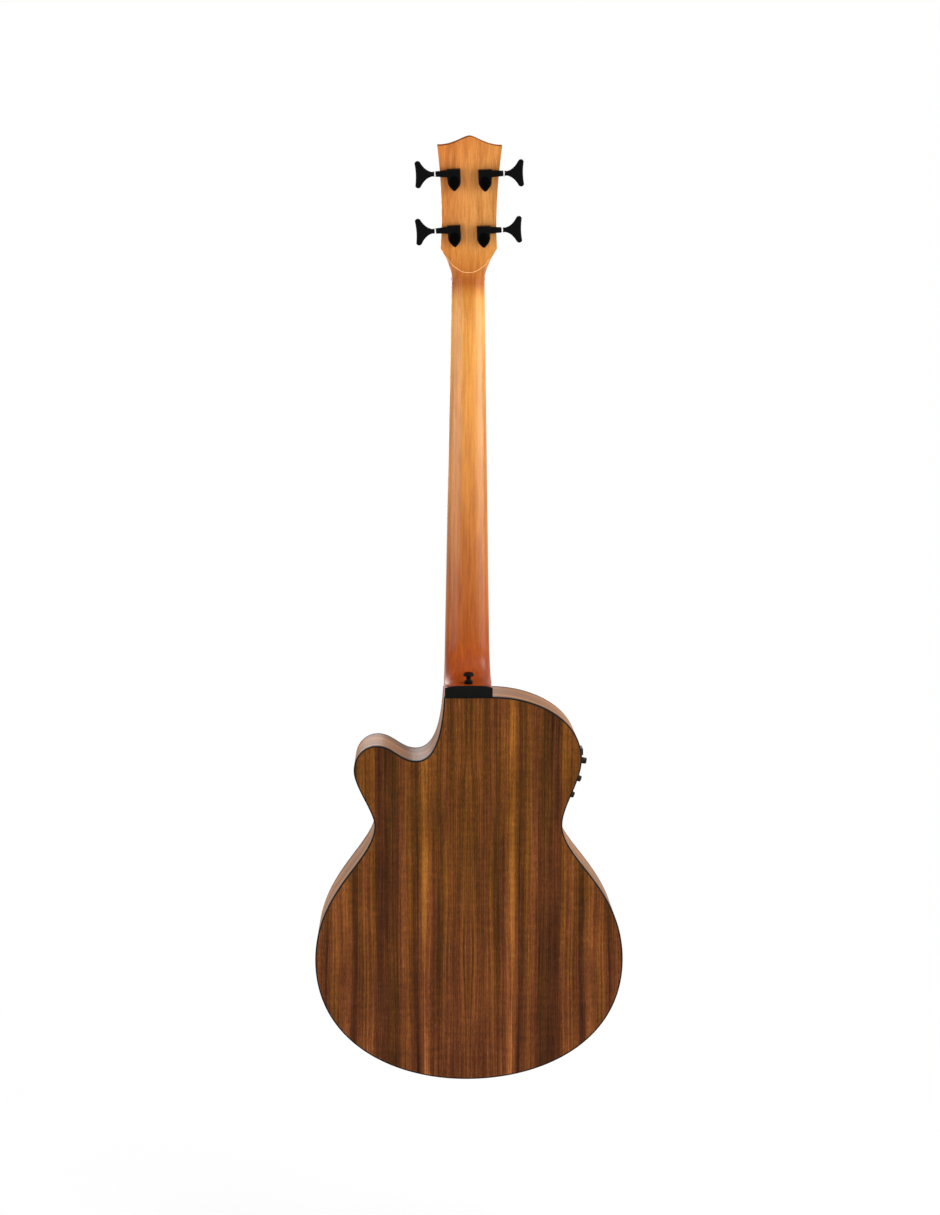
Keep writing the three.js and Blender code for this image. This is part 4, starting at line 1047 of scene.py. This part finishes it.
# Fingerboard, frets, nut, bridge and saddle
DOTTED_FRETS = (3, 5, 7, 9, 12, 15, 17, 19)
DOT_RADIUS = 3
FRET_HALF = 1.15
STRING_HEIGHT_NUT = 8
STRING_HEIGHT_SADDLE = 12.65
TIE_Y = -5.2  # where the strings enter the bridge from its back edge


def make_fingerboard():
    end = fret_z(FRETS) - 6.5
    points = 16
    sections = []
    for z in [-GLUE, -0.8] + [fret_z(n) for n in range(1, FRETS + 1)] + [end + 0.6, end]:
        half = half_width(z)
        inset = 0.4 if z in (-GLUE, end) else 0
        across = [half * (1 - 2 * k / points) for k in range(points + 1)]
        top = [(x, -BOARD_THICK + inset + x**2 / (2 * BOARD_RADIUS), z) for x in across]
        edge = top[0][1]
        left = [(half, 0, z), (half, edge + 0.5, z), (half - 0.15, edge + 0.12, z)]
        sections.append(left + top[1:-1] + [(-x, y, z) for x, y, z in left[::-1]])
    piece("fingerboard_fine", loft(sections), dark_wood, "fingerboard", sharp=40)
    for n in range(1, FRETS + 1):
        make_fret(n)
    for n in DOTTED_FRETS:
        make_dots(n)


def make_fret(n):
    """A wire with a half-round crown that follows the board, and lower at its ends."""
    z = fret_z(n)
    half = half_width(z) - 0.1
    angles = [pi * j / 6 for j in range(7)]
    rows = []
    for k in range(13):
        share = 1 - k / 6
        x = half * share
        y = board_at(x)
        rise = 1.0 if abs(share) < 0.97 else 0.25
        crown = [(x, y - rise * sin(a), z + FRET_HALF * cos(a)) for a in angles]
        rows.append([(x, y + 0.4, z + FRET_HALF)] + crown + [(x, y + 0.4, z - FRET_HALF)])
    piece("fret_%02d" % n, loft(rows), fret_steel, sharp=50)


def make_dots(n):
    """The inlays before a fret: one or two on the board, which follow its crown, and one on its side."""
    z = (fret_z(n) + fret_z(n - 1)) / 2
    for x in (-10, 10) if n == 12 else (0,):
        verts, faces = turned([(0.01, -0.04), (DOT_RADIUS, -0.02), (DOT_RADIUS, 0.5)], 40)
        verts = [(vx + x, vy + board_at(vx + x), vz + z) for vx, vy, vz in verts]
        piece("dot_%02d_%d" % (n, x), (verts, faces), pearl)
    verts, faces = turned([(0.01, 0.06), (1.1, 0.05), (1.1, -0.5)], 20, "x")
    side = half_width(z) + 0.01
    piece("side_dot_%02d" % n, ([(-(vx + side), vy - 4.2, vz + z) for vx, vy, vz in verts], faces), pearl)


def nut_string_y(p):
    return -STRING_HEIGHT_NUT - p.gauge / 2


def saddle_string_y(p):
    return -STRING_HEIGHT_SADDLE - p.gauge / 2


def make_nut():
    outline = mirrored(outline_of((21.9, 0), [(21.9, 8.2), ((21.5, 9.0), (0, 9.8))], 8))
    nut = solid("nut_fine", moved(stood_up(slab(outline, 0, 4.6, 0.5, 3)), z=0.1), black_plastic)
    for p in POSTS:
        r = p.gauge / 2 + 0.12
        cut(nut, box(p.nut - r, p.nut + r, -20, nut_string_y(p) + r, -1, 6))
    enlist(nut, "nut", sharp=30)


def make_bridge():
    """A belly bridge: its plan crossed with its profile, then a pocket, the saddle's slot and the holes."""
    front, back = SADDLE_Z + 8, BRIDGE_BACK
    wing = SADDLE_Z - 2
    plan = [
        ((-88, front), (-78, front)), (78, front), ((88, front), (88, wing)), (88, wing - 14),
        ((88, back + 2), (74, back + 2)), ((0, back - 4), (-74, back + 2)),
        ((-88, back + 2), (-88, wing - 14)),
    ]
    solid_plan = slab(outline_of((-88, wing), plan, 10), -10, 0)
    profile = mirrored(outline_of((90, 0.0), [(90, 3), ((70, 3), (58, 4.6)), ((54, 8.6), (44, 8.6))], 10))
    across = stood_up(slab(profile, back - 15, front + 15))
    bridge = solid("bridge_fine", solid_plan, dark_wood)
    combine(bridge, solid("bridge_across", across, dark_wood), "INTERSECT")
    cut(bridge, box(-42, 42, -20, -3.4, SADDLE_Z - 14.5, SADDLE_Z - 5.5))
    cut(bridge, box(-40.2, 40.2, -20, -4.2, SADDLE_Z - 1.6, SADDLE_Z + 1.6))
    for p in POSTS:
        r = p.gauge / 2 + 0.35
        cut(bridge, moved(turned([(r, back - 8), (r, SADDLE_Z - 10)], 24, "z"), p.saddle, TIE_Y))
    soften(bridge, 0.5, 35)
    enlist(bridge, "bridge")
    crown = [(-1.5, 2), (-1.2, 1.0), (-0.6, 0.35), (0.1, 0.0), (0.8, 0.1), (1.3, 0.6), (1.5, 1)]
    outer = POSTS[-1].saddle
    rows = []
    for k in range(25):
        x = -40 + 80 * k / 24
        top = 12.25 if abs(x) < outer else 12.25 - 1.05 * ((abs(x) - outer) / 11.5) ** 1.5
        foot = [(x, -4.5, SADDLE_Z + 1.5), (x, -4.5, SADDLE_Z - 1.5)]
        rows.append(foot + [(x, drop - top, SADDLE_Z + z) for z, drop in crown])
    piece("saddle_fine", loft(rows), bone_white, "saddle", sharp=40)


# Strings and their windings
SPOOL = 4.5
CAPSTAN_END = -41
CAPSTAN_RADIUS = 5.4
NUT_LEAVE = 4.8
RUN_CLEARANCE = 0.6
COIL_TURNS = 1.25
FIRST_WRAP = 22 / 24  # the turns that the string itself takes before the winding begins
RISE_TURNS = 0.28
WRAP_STEPS = 48
SLOT_DEPTH = 5
BALL = 2.7


def wrap_radius(p):
    return SPOOL + GLUE + p.gauge / 2


def first_wrap_y(p):
    return -23 - p.gauge / 2


def tangent_angle(p):
    """Where on the post a string from the nut touches its first turn."""
    leave = Vector((p.nut * p.mirror, nut_string_y(p) - HEAD_BACK, NUT_LEAVE))
    start = Matrix.Rotation(HEAD_ANGLE, 3, "X") @ leave
    x, z = start.x - p.x * p.mirror, start.z - p.z
    return atan2(z, x) - acos(wrap_radius(p) / hypot(x, z))


def about_post(p, radius, angle, y):
    x = p.x * p.mirror + radius * cos(angle)
    return HEAD @ Vector((p.mirror * x, y, p.z + radius * sin(angle)))


def slot_angle(p):
    return tangent_angle(p) - (FIRST_WRAP + COIL_TURNS + RISE_TURNS) * TURN


def make_string(p):
    """From the ball in the bridge over saddle and nut to the first turn on the post."""
    r, x = p.gauge / 2, p.saddle
    sy, ny = saddle_string_y(p), nut_string_y(p)
    back = BRIDGE_BACK
    ball = [((x, TIE_Y, back - z), radius) for z, radius in ((9.4, BALL * 0.6), (9.1, BALL), (4.4, BALL))]
    run = [
        (x, TIE_Y, back - 4.1), (x, TIE_Y, SADDLE_Z - 13), (x, TIE_Y - 0.5, SADDLE_Z - 11.6),
        (x, TIE_Y - 1.6, SADDLE_Z - 10.6), (x, sy + 1.3, SADDLE_Z - 2.8), (x, sy + 0.35, SADDLE_Z - 1.4),
        (x, sy, SADDLE_Z - 0.4), (x, sy + 0.01, SADDLE_Z + 3),
        (p.nut, ny, -1), (p.nut, ny, NUT_LEAVE - 0.6), (p.nut, ny + 0.06, NUT_LEAVE),
    ]
    start = tangent_angle(p)
    turns = [start - i / WRAP_STEPS * TURN for i in range(round(FIRST_WRAP * WRAP_STEPS) + 1)]
    run += [about_post(p, wrap_radius(p), angle, first_wrap_y(p)) for angle in turns]
    rod = tube(ball + [(point, r) for point in run], 14)
    piece("string_%s_fine" % p.id, rod, bronze, "string_" + p.id, sharp=60)


def make_coil(p):
    """The upper turns, which ride on the post, and the end that goes down into its slot."""
    r, wrap = p.gauge / 2, wrap_radius(p)
    pitch = p.gauge + 0.5
    begin = tangent_angle(p) - FIRST_WRAP * TURN
    first_y = first_wrap_y(p) - RUN_CLEARANCE
    coil = []
    for i in range(round(COIL_TURNS * WRAP_STEPS) + 1):
        t = i / WRAP_STEPS
        coil.append(about_post(p, wrap, begin - t * TURN, first_y - pitch * (1 + t)))
    last_y = first_y - pitch * (1 + COIL_TURNS)
    wide = CAPSTAN_RADIUS + GLUE + r + 0.5
    slot_y = CAPSTAN_END + SLOT_DEPTH - r - 0.4
    fall = slot_y - last_y
    # Distance from the post's axis, angle before the slot, and height
    turns = [
        (wrap, RISE_TURNS * TURN, last_y), ((wide + wrap) / 2 + 0.3, 1.2, last_y + fall * 0.35),
        (wide + 0.4, 0.75, last_y + fall * 0.85), (wide + 0.5, 0.3, slot_y), (wide - 0.5, 0.06, slot_y),
        (wide - 2.2, 0.0, slot_y), (0.6, 0.0, slot_y),
    ]
    slot = slot_angle(p)
    coil += [about_post(p, radius, slot + angle, y) for radius, angle, y in curve_between(turns, 5)[1:]]
    rod = tube([(point, r) for point in coil], 14)
    name = "string_coil_" + p.id
    piece(name + "_fine", rod, bronze, name, body="post_" + p.id, sharp=60)


# Tuning machines
WORM_Y = 6.2
WHEEL_TEETH = 14
WHEEL_PITCH = 6.2
WORM_PITCH = 2.5
WORM_Z = WHEEL_PITCH + WORM_PITCH
WORM_TURNS = 3
LEAD = TURN * WHEEL_PITCH / WHEEL_TEETH


def on_worm(shape):
    return moved(shape, y=WORM_Y, z=WORM_Z)


def make_machine(p):
    tilt = Matrix.Rotation(radians(p.skew), 4, "Y") @ Matrix.Diagonal((p.mirror, 1, 1, 1))
    at = on_head(p.x, p.z) @ tilt
    make_housing(p.id, at)
    make_key(p.id, at)
    make_post(p, at)


def make_housing(name, at):
    """A shield-shaped housing with an arm for the worm shaft, its gear cover, screw and washer."""
    moves = [
        (-8.3, -1.5), ((-8, -5), (-5.6, -8)), (-1.8, -12.2), ((0, -13.6), (1.8, -12.2)), (5.6, -8),
        ((8, -5), (8.3, -1.5)), (8.8, 14.2),
    ]
    shield = slab(outline_of((-8.3, 14.2), moves, 8), 0.05, 10.8, 1.3, 5)
    cover = solid("housing_%s_fine" % name, shield, black_metal, at)
    profile = [(4.6, 7.8), (4.5, 9.6), (4.2, 13), (3.8, 18), (3.55, 22.6), (3.25, 23.2)]
    combine(cover, solid("arm", on_worm(turned(profile, 48, "x")), black_metal, at), "UNION")
    cut(cover, turned([(7.2, -1), (7.2, 8.6)], 40), at)
    cut(cover, box(-6.4, 6.4, -1, 9.8, 3, 12.2), at)
    cut(cover, on_worm(turned([(2.3, 0), (2.3, 30)], 32, "x")), at)
    enlist(cover, "tuner_housing_" + name, sharp=28)
    oval = []
    for k in range(64):
        c, s = cos(TURN * k / 64), sin(TURN * k / 64)
        oval.append((6.3 * c, -1.2 + 7.4 * s - 0.9 * (1 - s) ** 2 * 0.25))
    piece("gear_cap_" + name, slab(oval, 10.2, 11.5, 0.6, 4), black_gloss, matrix=at)
    screw("machine_screw_" + name, at @ Matrix.Translation((0, 10.7, -10.9)), 1.5, black_gloss)
    washer = turned([(2.3, 23.35), (3.9, 23.35), (3.9, 24.85), (2.3, 24.85)], 40, "x", inner=True)
    piece("washer_%s_fine" % name, on_worm(washer), white_plastic, "key_washer_" + name, matrix=at)


def make_key(name, at):
    """The fishtail key with its shaft, and the worm on the shaft."""
    moves = [
        ((33, -3.2), (38, -7.6), (42, -14.6)), ((43.6, -18), (48.6, -17.6), (49.4, -14)),
        ((48.6, -9), (48.2, -4), (48.2, 0)),
    ]
    leaf = slab(mirrored(outline_of((25.2, -2.4), moves, 10), axis=1), -2.6, 2.6, 1.5, 5)
    hub = turned([(3.1, 25), (3.2, 25.6), (2.9, 28), (2.2, 31), (1.4, 33)], 40, "x")
    rod = turned([(1.4, -8.1), (1.4, -6.2), (2, -6.2), (2, 25.5)], 32, "x")
    key = solid("key_%s_fine" % name, on_worm(leaf), black_metal, at)
    for part in (hub, rod):
        combine(key, solid("part", on_worm(part), black_metal, at), "UNION")
    enlist(key, "tuner_key_" + name, "key_" + name, sharp=28)
    profile = [(1.8, -0.76), (3.05, -0.36), (3.05, 0.36), (1.8, 0.76)]
    rows = []
    for i in range(24 * WORM_TURNS + 1):
        turn = WORM_TURNS * (i / (24 * WORM_TURNS) - 0.5)
        a = -pi / 2 + TURN * turn
        rows.append([(LEAD * turn + along, radius * cos(a), radius * sin(a)) for radius, along in profile])
    piece("worm_" + name, on_worm(loft(rows)), steel, body="key_" + name, matrix=at)


def make_post(p, at):
    """The slotted capstan with the worm's wheel on it, and its bushing on the head's face."""
    body = "post_" + p.id
    end = CAPSTAN_END
    profile = [
        (0.01, 8.2), (3.0, 8.2), (3.2, 8.0), (3.2, -21.5), (5.7, -21.6), (5.9, -21.8), (5.9, -22.2),
        (5.6, -22.5), (4.7, -22.7), (SPOOL, -23.2), (4.4, end + 9), (SPOOL, end + 6.6), (5.0, end + 5.6),
        (CAPSTAN_RADIUS, end + 5), (CAPSTAN_RADIUS, end + 0.6), (5.2, end + 0.2), (4.8, end), (0.01, end),
    ]
    capstan = solid(body + "_fine", turned(profile, 56), black_metal, at)
    turn = radians(p.skew * p.mirror) + slot_angle(p)
    spin = at @ Matrix.Rotation(-turn, 4, "Y")
    half, bore = p.gauge / 2 + 0.9, p.gauge / 2 + 1
    cut(capstan, box(-0.1, 9, end - 1, end + SLOT_DEPTH, -half, half), spin)
    cut(capstan, turned([(bore, end - 1), (bore, end + SLOT_DEPTH)], 32), spin)
    enlist(capstan, "string_" + body, body, sharp=28)
    tooth = TURN / WHEEL_TEETH
    twist = LEAD / (TURN * WORM_PITCH) / WHEEL_PITCH
    # A tooth's corners: radius, half its thickness there, and side
    corners = ((5.35, 0.72, -1), (6.55, 0.34, -1), (6.55, 0.34, 1), (5.35, 0.72, 1))
    rows = []
    for y in (-1.5, -0.75, 0, 0.75, 1.5):
        row = []
        for i in range(WHEEL_TEETH):
            middle = pi / 2 + (i + 0.5) * tooth
            for radius, half_tooth, side in corners:
                a = middle + side * half_tooth / radius - twist * y
                row.append((radius * cos(a), WORM_Y + y, radius * sin(a)))
        rows.append(row)
    piece("wheel_" + p.id, loft(rows), steel, body=body, matrix=at)
    ring = [
        (3.55, -21.2), (3.55, -9), (5.2, -9), (5.2, -19.1), (8, -19.1), (8, -20.4), (7.7, -20.9),
        (7.2, -21.2),
    ]
    bushing = turned(ring, 56, inner=True)
    piece("bushing_%s_fine" % p.id, bushing, black_metal, "post_bushing_" + p.id, matrix=at)


# Heel cap, strap buttons and preamp
PANEL_Y = (24, 62)
PANEL_Z = (-609, -687)
CONTROL_Y = sum(PANEL_Y) / 2
KNOBS = [("volume_knob", -628), ("bass_knob", -650.5), ("treble_knob", -672)]
BUTTON_Z = -682
DISPLAY_Z = -615.5


def make_heel_cap():
    top = HEEL_TOP
    moves = [
        (31, BODY_TOP), (31, top - 3), ((29, top - 1), (18, top - 0.3)), ((0, top + 0.5), (-18, top - 0.3)),
        ((-29, top - 1), (-31, top - 3)),
    ]
    cap = slab(outline_of((-31, BODY_TOP), moves), DEPTH_NECK - 3.2, DEPTH_NECK, 0.6, 4)
    piece("heel_cap_fine", cap, heel_black, "heel_cap")


def make_strap_button():
    tilt = radians(10)
    at = Matrix.Translation((0, 68, HEEL_TOP + 2)) @ Matrix.Rotation(pi / 2 - tilt, 4, "X")
    profile = [
        (0.01, -0.6), (5.6, -0.6), (5.8, 0.2), (5.8, 1.4), (5.2, 2.2), (3.4, 3.8), (2.8, 5.4), (2.8, 7.2),
        (3.2, 8.3), (4.4, 9.2), (6.6, 9.9), (7.1, 10.3), (7.1, 11.3), (6.7, 12.1), (5.8, 12.8), (0.01, 12.8),
    ]
    piece("strap_button_fine", turned(profile, 56), black_metal, "strap_button", matrix=at)
    screw("strap_screw", at @ Matrix.Translation((0, 12.0, 0)), 2.6, black_gloss)


def make_endpin():
    end = 1058
    profile = [
        (3.3, end), (8.0, end), (8.5, end - 0.5), (8.6, end - 1.2), (8.4, end - 2.3), (6.4, end - 3.4),
        (5.5, end - 4.6), (5.4, 1048.8), (8.0, 1047.4), (8.2, 1047.0), (8.2, 1044.9), (6.1, 1044.9),
        (6.1, 1011.6), (8.4, 1011.6), (8.4, 1008), (6, 1008), (6, 1004), (3.3, 1004),
    ]
    verts, faces = turned(profile, 56, "z", inner=True)
    jack = [(x, y + 50, -z) for x, y, z in verts], faces
    piece("endpin_fine", jack, black_metal, "endpin_jack")


def standing(z):
    """A frame whose +Y stands out of the bass side at height z, at the middle of the panel."""
    p, out = bass_side(z)
    turn = Matrix.Rotation(atan2(out[0], out[1]), 4, "Y") @ Matrix.Rotation(pi / 2, 4, "X")
    return Matrix.Translation((p[0], CONTROL_Y, p[1])) @ turn


def make_panel():
    """A panel bent to the bass side, with rounded corners and edges and a hole for each control."""
    full, steps = 2.4, 40
    y0, y1 = PANEL_Y
    heights, corners = [0.9, 1.7, 2.15], [3.0, 1.2, 0.4]
    rows = []
    for i in range(steps + 1):
        p, out = bass_side(PANEL_Z[0] + (PANEL_Z[1] - PANEL_Z[0]) * i / steps)
        edge = min(i, steps - i)
        height, corner = (heights[edge], corners[edge]) if edge < 3 else (full, 0)
        arc = [(0.02, 0), (height - 0.7, 0), (height - 0.25, 0.25), (height, 0.8)]
        row = [(h, y0 + corner + d) for h, d in arc] + [(h, y1 - corner - d) for h, d in arc[::-1]]
        rows.append([(p[0] + out[0] * h, y, p[1] + out[1] * h) for h, y in row])
    panel = solid("panel_fine", loft(rows), black_plastic)
    for z, radius in [(z, 2.5) for _, z in KNOBS] + [(BUTTON_Z, 2.4)]:
        cut(panel, turned([(radius, -3), (radius, 12)], 32), standing(z))
    enlist(panel, "preamp_panel", sharp=32)


def make_preamp():
    make_panel()
    at = standing(DISPLAY_Z)
    piece("tuner_hood", slab(rounded(4.5, 11, 1.2), 1, 4.6, 0.7, 4), black_plastic, matrix=at)
    window = slab(rounded(3.1, 9, 0.6), 4.5, 4.72, 0.08, 2)
    piece("tuner_window", window, black_gloss, slot="black_plastic", matrix=at)
    for name, z in KNOBS:
        make_knob(name, standing(z))
    button = turned([(0.01, -4), (1.9, -4), (1.9, 4.2), (1.75, 4.6), (1.3, 4.8), (0.01, 4.8)], 40)
    name = "tuner_button"
    piece(name + "_fine", button, black_plastic, name, name, matrix=standing(BUTTON_Z))


def make_knob(name, at):
    """A ribbed knob with a white mark just proud of its face."""
    count = 20 * 4
    # Height, radius and the depth of the grooves between the ribs
    profile = [
        (-6, 2.1, 0), (2.9, 2.1, 0), (2.9, 4.4, 0), (3.5, 4.4, 0), (3.7, 4.3, 0.22), (9.4, 4.0, 0.22),
        (10.2, 3.8, 0.1), (10.6, 3.4, 0),
    ]
    rows = []
    for height, radius, groove in profile:
        radii = [radius - (groove if k % 4 in (0, 1) else 0) for k in range(count)]
        rows.append([(x * r, height, z * r) for r, (x, _, z) in zip(radii, circle(1, count))])
    piece(name + "_fine", loft(rows), black_plastic, name, name, matrix=at, sharp=40)
    piece(name + "_mark", box(-0.3, 0.3, 10.3, 10.65, 0.8, 3.3), white_plastic, body=name, matrix=at)


def dress_inner():
    """Gives the nodes that are shown as they were made their materials."""
    looks = [
        (block_wood, "neck_block tail_block"),
        (brace_wood, "top_bracing bridge_plate back_brace_1 back_brace_2 back_brace_3 back_brace_4"),
        (steel, "truss_rod battery"),
        (black_plastic, "preamp_case"),
    ]
    for look, names in looks:
        for name in names.split():
            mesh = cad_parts[name].data
            mesh.materials.clear()
            mesh.materials.append(look)


make_back()
make_soundboard()
make_bindings()
make_sides()
make_neck()
make_head_ridge()
make_headplate()
make_fingerboard()
make_nut()
make_bridge()
for post in POSTS:
    make_string(post)
    make_coil(post)
for post in POSTS:
    make_machine(post)
make_heel_cap()
make_strap_button()
make_endpin()
make_preamp()
dress_inner()

bpy.context.view_layer.update()
scene.view_settings.view_transform = "Standard"
